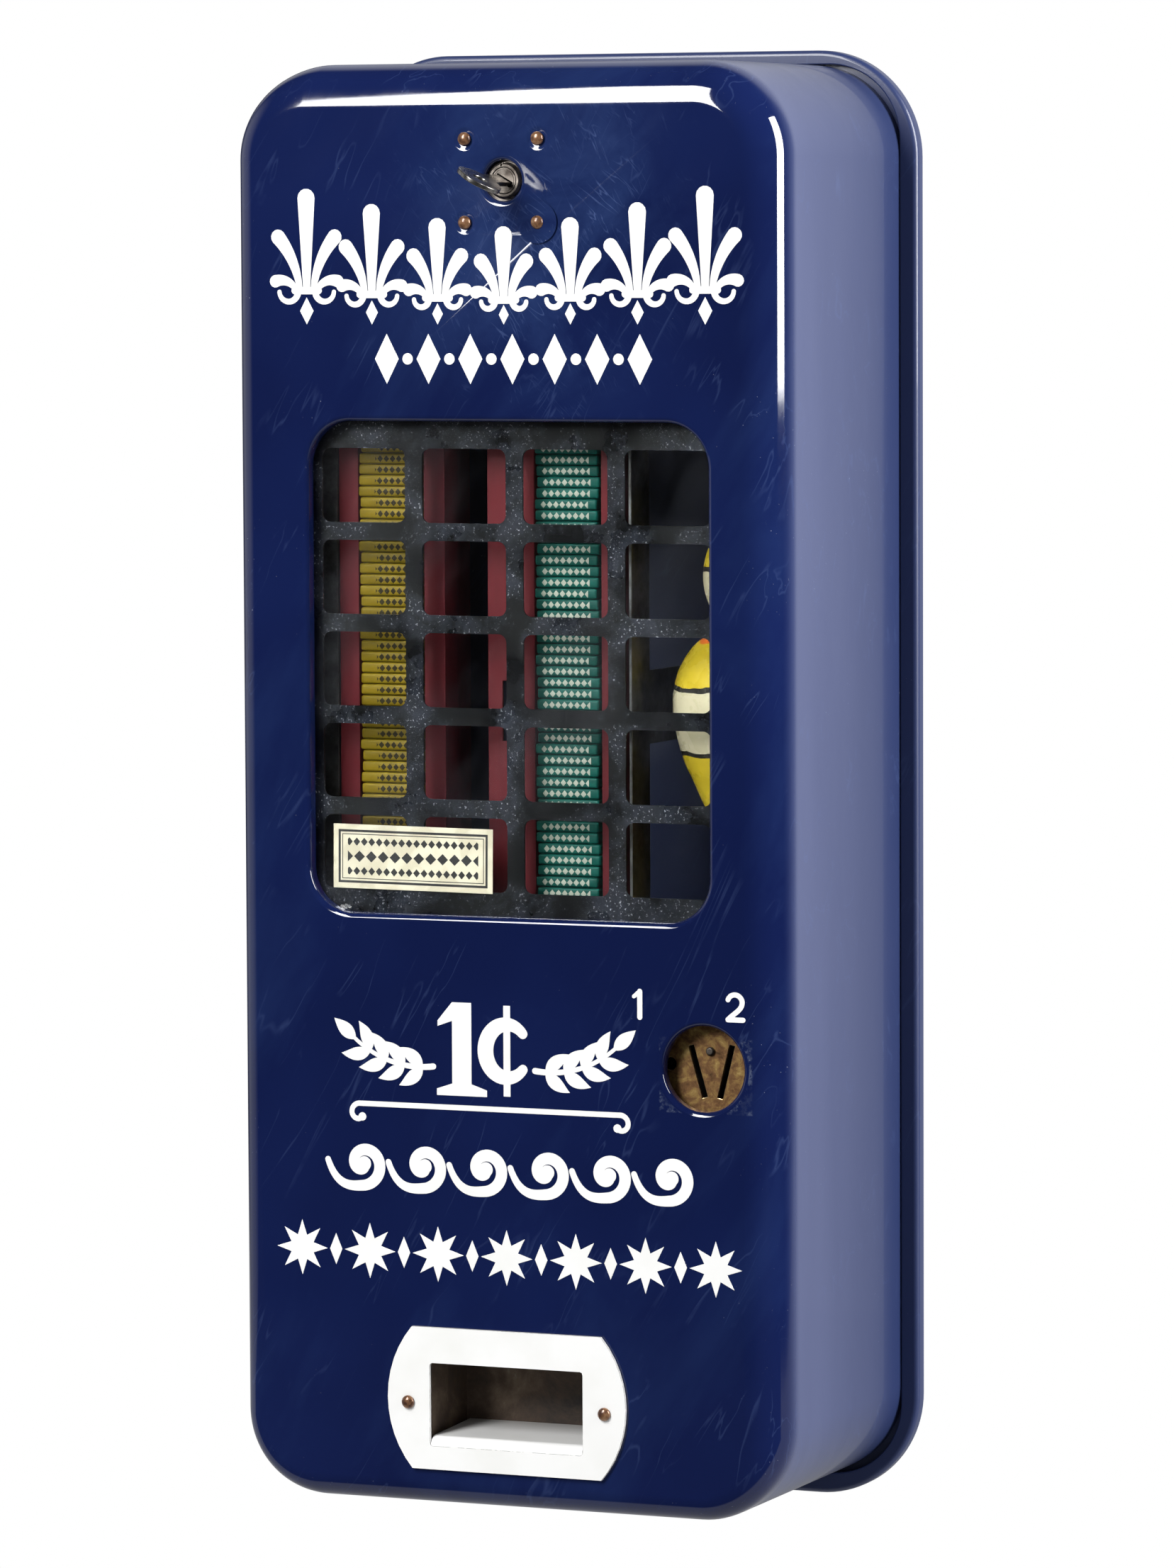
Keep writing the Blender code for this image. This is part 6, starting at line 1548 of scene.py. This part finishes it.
def wrapper(name, paper, ink, left, right):
    f = Printed(name, paper, 0.42, PRINT_UNIT)
    shade = f.nodes.new("ShaderNodeAttribute")
    shade.attribute_name = "shade"
    darker = tuple(0.55 * value for value in paper)
    stain = f.ramp(f.noise(240, 4), ((0.35, 0.30), (0.75, 0.0)))
    faded = f.mix(f.product(shade.outputs["Fac"], 0.55), paper, darker)
    worn = f.mix(stain, faded, darker)
    print_row = f.chain(-0.1, 2.4, 2.7, left, right)
    f.colour(f.mix(f.product(print_row, 0.92), worn, ink))
    f.bump(f.noise(700, 3), 0.00003)
    f.set("Specular IOR Level", 0.15)
    return f.material


def label_paper():
    f = Printed("label_paper", (0.60, 0.55, 0.42), 0.55, PRINT_UNIT)
    stain = f.ramp(f.noise(75, 2, 0.5, warp=0.8), ((0.47, 0.0), (0.56, 1.0)))
    paper = f.mix(f.math("MULTIPLY", stain, 0.55), (0.61, 0.55, 0.42), (0.45, 0.39, 0.28))
    side = f.math("SUBTRACT", LABEL_HALF_W, f.math("ABSOLUTE", f.x))
    top = f.math("SUBTRACT", LABEL_HALF_H, f.math("ABSOLUTE", f.y))
    edge = f.math("MINIMUM", side, top)
    marks = [f.within(edge, 1.9, 2.75), f.within(edge, 3.35, 3.65)]
    reach = LABEL_HALF_W - 5.5
    marks += [f.chain(up, 2.9, height, -reach, reach) for up, height in ((5.2, 3.2), (-5.2, 3.2))]
    marks.append(f.chain(0, 4.6, 4.4, -reach, reach))
    ink = marks[0]
    for mark in marks[1:]:
        ink = f.math("MAXIMUM", ink, mark)
    f.colour(f.mix(ink, paper, (0.012, 0.011, 0.012)))
    f.bump(f.noise(400, 4), 0.00004)
    return f.material


LABEL_HALF_W, LABEL_HALF_H, LABEL_TILT = 30.75, 11.35, math.radians(-0.5)
# Painted shade: both wrapper colours are darker than the paper really is, and stand in for the shade
# inside the window.
YELLOW_SHADED = wrapper("yellow_wrapper", (0.205, 0.140, 0.005), (0.012, 0.010, 0.007), -5.5, 11.6)
TEAL_SHADED = wrapper("teal_wrapper", (0.004, 0.088, 0.070), (0.36, 0.37, 0.31), -9.4, 8.6)
LABEL = label_paper()

# %% Stack the packs


def pack_template(paper):
    """A pack with soft long edges, about its own middle."""
    bm = bmesh.new()
    bmesh.ops.create_cube(bm, size=1.0)
    bmesh.ops.scale(bm, verts=bm.verts, vec=(PACK_W * MM, PACK_L * MM, (PACK_T - 0.2) * MM))
    obj = mesh_object("pack", bm, paper)
    bevelled(obj, 0.85, 3, 60)
    obj.data.shade_smooth()
    obj.data.set_sharp_from_angle(angle=math.radians(50))
    return lay_print(obj, Vector((1, 0, 0)), Vector((0, 0, 1)), Vector((0, 0, 0)), PRINT_UNIT)


def stack(name, node, paper, seed, shift, turn):
    low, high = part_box(node)
    middle = (low + high) / 2
    count = round((high.z - low.z) / MM / PACK_T)
    pitch = (high.z - low.z) / count
    points = [(middle.x, middle.y, low.z + pitch * (i + 0.5)) for i in range(count)]
    obj = set_out(name, points, pack_template(paper), paper, shift, turn, seed)
    return settle(obj, BODY_OF[node], SLOT_OF[node], node)


JITTER = (0.40 * MM, 0.30 * MM, 0.0)
YAW_JITTER = (0.0, 0.0, math.radians(0.9))
for side, paper, seed in (("left", YELLOW_SHADED, 3), ("right", TEAL_SHADED, 8)):
    stack(f"packs_{side}", f"gum_stack_{side}", paper, seed, JITTER, YAW_JITTER)
    stack(f"lowest_pack_{side}", f"vend_pack_{side}", paper, seed + 20, (0, 0, 0), (0, 0, 0))

# %% Paste the label
label_low, label_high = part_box("window_label")
label_middle = (label_low + label_high) / 2
across = Vector((math.cos(LABEL_TILT), 0, math.sin(LABEL_TILT)))
upwards = Vector((-math.sin(LABEL_TILT), 0, math.cos(LABEL_TILT)))


def label_sheet():
    corners = ((-1, -1), (1, -1), (1, 1), (-1, 1))
    rings = []
    for y in (label_low.y, label_high.y):
        ring = []
        for a, b in corners:
            point = label_middle + across * a * LABEL_HALF_W * MM + upwards * b * LABEL_HALF_H * MM
            ring.append((point.x, y, point.z))
        rings.append(ring)
    return loft(rings)


label = mesh_object("label_sheet", label_sheet(), LABEL)
lay_print(label, across, upwards, label_middle, PRINT_UNIT)
settle(label, "cover", "cream_paper", "window_label")

# %% [markdown]
# ## Inside the cover
# Two painted columns guide the packs, and plain steel frames carry them. The clockwork is brass
# and steel. These are dressed nodes, because their outlines are already true.

# %% Columns, frames and clockwork
for node in ("column_left", "column_right"):
    dressed(node, MAROON, 0.2)
for node in ("side_frame_left", "side_frame_right", "column_shelf", "lock_plate", "catch_bracket"):
    dressed(node, STEEL, 0.2)
for node in ("cover_hanger_left", "cover_hanger_right", "coin_bracket", "turntable_bracket"):
    dressed(node, STEEL, 0.2)
for node in ("ejector_left", "ejector_right", "coin_tray", "lock_cam", "trip_pin"):
    dressed(node, STEEL, 0.15)
for node in ("push_lever_left", "push_lever_right", "lever_shaft", "governor_fan"):
    dressed(node, STEEL, 0.12)
for node in ("follower_left", "follower_right"):
    dressed(node, BLACK, 0.3)
for node in ("motor_back_plate", "motor_front_plate", "winding_key", "crown_wheel"):
    dressed(node, BRASS, 0.15)
for node in ("trip_lever_left", "trip_lever_right", "spring_barrel"):
    dressed(node, BRASS, 0.1)
for node in ("coin_runway_left", "coin_runway_right", "second_wheel", "turntable"):
    dressed(node, STEEL, 0.1)

# %% [markdown]
# ## Coin entry
# The coin plate is old brass with two slots. Years of coins have polished the slots' edges, so
# their bevels are bright while the face is mottled brown.

# %% Coin plate
dressed("coin_plate", COIN_BRASS, 0.18, 2, 40, rim=SLOT_EDGE)
dressed("coin_plate_rivet", LOCK_STEEL, 0.12, 3, 30)

# %% [markdown]
# ## The turning figure
# A small figure turns in the window's corner while a pack is served. This one is a plain turned
# doll with painted bands. Its outline is a smooth curve through the model's profile.

# %% Turned doll


def smooth_profile(points, steps=6):
    """A Catmull-Rom curve through (radius, height) points."""
    padded = [points[0]] + list(points) + [points[-1]]
    curve = [points[0]]
    for i in range(1, len(padded) - 2):
        a, b, c, d = padded[i - 1 : i + 3]
        for step in range(1, steps + 1):
            t = step / steps
            curve.append(
                tuple(
                    0.5
                    * (
                        2 * b[k]
                        + (c[k] - a[k]) * t
                        + (2 * a[k] - 5 * b[k] + 4 * c[k] - d[k]) * t * t
                        + (3 * b[k] - a[k] - 3 * c[k] + d[k]) * t**3
                    )
                    for k in (0, 1)
                )
            )
    return curve


def painted_tin(name, stops):
    """Bands of paint up the doll; a stop is (share of the height, colour)."""
    low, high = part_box("figure_body")[0].z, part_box("figure_head")[1].z
    f = Finish(name, stops[0][1], 0.28)
    split = f.nodes.new("ShaderNodeSeparateXYZ")
    f.join(f.coords, split.inputs[0])
    wobble = f.math("MULTIPLY", f.math("SUBTRACT", f.noise(60, 3), 0.5), 0.0045)
    height = f.math("ADD", split.outputs["Z"], wobble)
    share = f.math("DIVIDE", f.math("SUBTRACT", height, low), high - low)
    bands = f.ramp(share, stops)
    f.nodes[-1].color_ramp.interpolation = "CONSTANT"
    worn = f.ramp(f.noise(300, 6, 0.7), ((0.62, 0.0), (0.72, 1.0)))
    f.colour(f.mix(f.math("MULTIPLY", worn, 0.6), bands, (0.25, 0.22, 0.16)))
    f.roughness(f.ramp(f.noise(150, 4), ((0.3, 0.18), (0.8, 0.45))))
    f.bump(f.noise(200, 3), 0.00006)
    return f.material


TIN_YELLOW, TIN_CREAM = (0.52, 0.38, 0.02), (0.54, 0.48, 0.32)
TIN_LINE, TIN_ORANGE = (0.02, 0.018, 0.015), (0.55, 0.12, 0.02)
DOLL = painted_tin(
    "painted_doll",
    (
        (0.00, TIN_YELLOW),
        (0.235, TIN_LINE),
        (0.245, TIN_ORANGE),
        (0.275, TIN_LINE),
        (0.285, TIN_YELLOW),
        (0.44, TIN_LINE),
        (0.452, TIN_CREAM),
        (0.60, TIN_LINE),
        (0.612, TIN_YELLOW),
        (0.715, TIN_ORANGE),
        (0.748, TIN_CREAM),
        (0.885, TIN_LINE),
        (0.895, TIN_YELLOW),
    ),
)
BODY_PROFILE = (
    (11.8, 201.3),
    (12.0, 238.0),
    (16.5, 252.0),
    (22.2, 265.0),
    (25.2, 278.0),
    (25.5, 286.0),
    (23.2, 296.0),
    (17.0, 305.0),
    (8.5, 310.0),
)


def turned_doll():
    low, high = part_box("figure_body")
    axis = Vector(((low.x + high.x) / 2, (low.y + high.y) / 2, BASE))
    rise = (low.z - BASE) / MM - BODY_PROFILE[0][1]
    curve = [(r, up + rise) for r, up in smooth_profile(BODY_PROFILE)]
    body = [(0, curve[0][1])] + [(min(r, 25.5), up) for r, up in curve] + [(0, curve[-1][1])]
    head_low, head_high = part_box("figure_head")
    middle, half = (head_low.z + head_high.z) / 2, (head_high.z - head_low.z) / 2
    radius, flat = (head_high.x - head_low.x) / 2 / MM, math.radians(24)
    head = [(0, (head_low.z - BASE) / MM)]
    for step in range(29):
        angle = flat + (math.pi - 2 * flat) * step / 28
        level = middle - half / math.cos(flat) * math.cos(angle)
        head.append((radius * math.sin(angle), (level - BASE) / MM))
    head.append((0, (head_high.z - BASE) / MM))
    for name, profile, node in (("doll_body", body, "figure_body"), ("doll_head", head, "figure_head")):
        obj = mesh_object(name, turned(profile, axis, "Z", 72), DOLL, smooth=50)
        settle(obj, "turntable", SLOT_OF[node], node)
        print(name, len(obj.data.polygons), "faces")


turned_doll()

# %% [markdown]
# ## Glass
# The window is a plain sheet of old glass: clear, a little grey, and hazed by patches of dust.
# Light passes through it to the guard without a hard shadow.

# %% Window glass


def pane_glass():
    f = Finish("pane_glass", (0.93, 0.96, 0.95), 0.0)
    f.set("Transmission Weight", 1.0).set("IOR", 1.5)
    path = f.nodes.new("ShaderNodeLightPath")
    clear = f.nodes.new("ShaderNodeBsdfTransparent")
    dust = f.nodes.new("ShaderNodeBsdfDiffuse")
    dust.inputs["Color"].default_value = (0.20, 0.21, 0.24, 1)
    clear.inputs["Color"].default_value = (0.80, 0.81, 0.81, 1)
    film = f.ramp(f.noise(30, 5, 0.6, (1, 1, 0.4), (0, 0.5, 0)), ((0.48, 0.0), (0.85, 0.045)))
    hazed = f.nodes.new("ShaderNodeMixShader")
    f.join(film, hazed.inputs["Fac"])
    f.join(f.shader.outputs[0], hazed.inputs[1])
    f.join(dust.outputs[0], hazed.inputs[2])
    lit = f.nodes.new("ShaderNodeMixShader")
    f.join(path.outputs["Is Shadow Ray"], lit.inputs["Fac"])
    f.join(hazed.outputs[0], lit.inputs[1])
    f.join(clear.outputs[0], lit.inputs[2])
    f.join(lit.outputs[0], f.nodes["Material Output"].inputs["Surface"])
    return f.material


pane = frame["nodes"]["window_glass"]
pane.data.materials.clear()
pane.data.materials.append(pane_glass())

# %% [markdown]
# ## Light and camera
# The light is a plain studio: a broad soft lamp high on the left, a strip on the right, and a
# pale surround that the gloss can mirror. The world is darker in front of the machine than
# behind it, because a glossy face shows whatever stands before it.

# %% Camera
CAMERA = Vector((1.01523, -2.42820, 0.19306))
YAW, PITCH, ROLL = 0.4029, 0.0750, -0.0045
FOCAL_PX, IMAGE_H = 10209.82, 2212
SENSOR = 36.0


def add_camera():
    forward = Vector(
        (-math.sin(YAW) * math.cos(PITCH), math.cos(YAW) * math.cos(PITCH), -math.sin(PITCH))
    )
    right = Vector((math.cos(YAW), math.sin(YAW), 0))
    upward = right.cross(forward)
    x_axis = right * math.cos(ROLL) + upward * math.sin(ROLL)
    y_axis = -right * math.sin(ROLL) + upward * math.cos(ROLL)
    turn = Matrix((x_axis, y_axis, -forward)).transposed().to_4x4()
    data = bpy.data.cameras.new("camera")
    data.sensor_width = SENSOR
    data.lens = FOCAL_PX * SENSOR / IMAGE_H
    data.clip_end = 50
    camera = bpy.data.objects.new("camera", data)
    camera.matrix_world = Matrix.Translation(CAMERA) @ turn
    bpy.context.scene.collection.objects.link(camera)
    bpy.context.scene.camera = camera
    return data.lens


print("lens", round(add_camera(), 2), "mm")

# %% Lamps


def soft_lamp(name, place, aim, size, power, colour=(1, 1, 1)):
    data = bpy.data.lights.new(name, "AREA")
    data.shape = "RECTANGLE"
    data.size, data.size_y = size
    data.energy = power
    data.color = colour
    lamp = bpy.data.objects.new(name, data)
    direction = Vector(aim) - Vector(place)
    lamp.matrix_world = (
        Matrix.Translation(place) @ direction.to_track_quat("-Z", "Y").to_matrix().to_4x4()
    )
    bpy.context.scene.collection.objects.link(lamp)
    return lamp


soft_lamp("key_lamp", (-0.58, -1.60, 1.12), (0, 0, 0.42), (0.50, 1.25), 48)
soft_lamp("side_lamp", (1.90, -0.02, 0.80), (0, 0, 0.60), (0.72, 1.4), 84)

# %% Floor, backdrop and world
view = bpy.context.scene.view_settings
view.view_transform = "Standard"
FLOOR_DROP = 0.9


def graded(nodes, links, value, near, far):
    """A smooth step from one (place, strength) to another along a coordinate."""
    step = nodes.new("ShaderNodeMapRange")
    step.interpolation_type = "SMOOTHSTEP"
    step.inputs["From Min"].default_value, step.inputs["To Min"].default_value = near
    step.inputs["From Max"].default_value, step.inputs["To Max"].default_value = far
    links.new(value, step.inputs["Value"])
    return step.outputs[0]


def choose(nodes, links, shader, pick, one, other):
    """A mix shader: the other one where pick is 1."""
    mix = nodes.new(shader)
    links.new(pick, mix.inputs[0])
    links.new(one, mix.inputs[1])
    links.new(other, mix.inputs[2])
    return mix.outputs[0]


def combined(nodes, links, operation, one, other):
    node = nodes.new("ShaderNodeMath")
    node.operation = operation
    for socket, value in zip(node.inputs, (one, other)):
        if isinstance(value, bpy.types.NodeSocket):
            links.new(value, socket)
        else:
            socket.default_value = value
    return node.outputs[0]


def ray_kinds(nodes, links):
    """Two shares: rays that see a white background, and rays that mirror the room.

    A ray that glass mirrored inside itself leaves it as a transmission ray, and would put a veil
    of background over the window, so it counts with the mirroring ones."""
    path = nodes.new("ShaderNodeLightPath").outputs
    straight = combined(nodes, links, "LESS_THAN", path["Glossy Depth"], 0.5)
    through = combined(nodes, links, "MULTIPLY", path["Is Transmission Ray"], straight)
    white = combined(nodes, links, "MAXIMUM", path["Is Camera Ray"], through)
    mirroring = combined(
        nodes, links, "MAXIMUM", path["Is Glossy Ray"], path["Is Transmission Ray"]
    )
    return white, mirroring


def pale_stage():
    """Pale grey to the light, white to the camera, and dark in front to what mirrors it."""
    mat = bpy.data.materials.new("pale_stage")
    mat.use_nodes = True
    nodes, links = mat.node_tree.nodes, mat.node_tree.links
    nodes.clear()
    place = nodes.new("ShaderNodeSeparateXYZ")
    links.new(nodes.new("ShaderNodeNewGeometry").outputs["Position"], place.inputs[0])
    diffuse = nodes.new("ShaderNodeBsdfDiffuse")
    diffuse.inputs["Color"].default_value = (0.55, 0.55, 0.55, 1)
    white, mirrored = nodes.new("ShaderNodeEmission"), nodes.new("ShaderNodeEmission")
    near = graded(nodes, links, place.outputs["Y"], (-0.80, 0.03), (-0.62, 0.5))
    far = graded(nodes, links, place.outputs["Y"], (0.2, 1.0), (2.8, 0.8))
    strength = combined(nodes, links, "MULTIPLY", near, far)
    links.new(strength, mirrored.inputs["Strength"])
    seen, mirroring = ray_kinds(nodes, links)
    mix = "ShaderNodeMixShader"
    lit = choose(nodes, links, mix, mirroring, diffuse.outputs[0], mirrored.outputs[0])
    shown = choose(nodes, links, mix, seen, lit, white.outputs[0])
    out = nodes.new("ShaderNodeOutputMaterial")
    links.new(shown, out.inputs["Surface"])
    return mat


def add_floor():
    bm = bmesh.new()
    bmesh.ops.create_grid(bm, x_segments=1, y_segments=1, size=6.0)
    bmesh.ops.translate(bm, verts=bm.verts, vec=(0, 0, BASE - FLOOR_DROP))
    floor = mesh_object("floor", bm, pale_stage())


def light_world():
    world = bpy.data.worlds.new("studio")
    bpy.context.scene.world = world
    world.use_nodes = True
    nodes, links = world.node_tree.nodes, world.node_tree.links
    nodes.clear()
    coords, split = nodes.new("ShaderNodeTexCoord"), nodes.new("ShaderNodeSeparateXYZ")
    links.new(coords.outputs["Generated"], split.inputs[0])
    backdrop = graded(nodes, links, split.outputs["Y"], (0.35, 0.03), (0.60, 0.95))
    right = graded(nodes, links, split.outputs["X"], (0.36, 1.0), (0.64, 0.06))
    low = graded(nodes, links, split.outputs["X"], (-0.42, 0.15), (-0.25, 1.0))
    high = graded(nodes, links, split.outputs["Z"], (0.12, 0.0), (0.45, 0.9))
    edge = combined(nodes, links, "MAXIMUM", low, high)
    level = combined(nodes, links, "MULTIPLY", right, edge)
    behind = combined(nodes, links, "MULTIPLY", backdrop, level)
    left = graded(nodes, links, split.outputs["X"], (-0.98, 0.9), (-0.78, 0.03))
    upwards = graded(nodes, links, split.outputs["Z"], (-0.14, 0.50), (0.06, 0.72))
    sides = combined(nodes, links, "MAXIMUM", behind, left)
    strength = combined(nodes, links, "MULTIPLY", sides, upwards)
    plain, mirrored, white = (nodes.new("ShaderNodeBackground") for _ in range(3))
    for background, level in ((plain, 0.32), (mirrored, 1.0), (white, 1.0)):
        background.inputs["Color"].default_value = (1, 1, 1, 1)
        background.inputs["Strength"].default_value = level
    links.new(strength, mirrored.inputs["Strength"])
    seen, mirroring = ray_kinds(nodes, links)
    mix = "ShaderNodeMixShader"
    lit = choose(nodes, links, mix, mirroring, plain.outputs[0], mirrored.outputs[0])
    shown = choose(nodes, links, mix, seen, lit, white.outputs[0])
    out = nodes.new("ShaderNodeOutputWorld")
    links.new(shown, out.inputs["Surface"])


add_floor()
light_world()
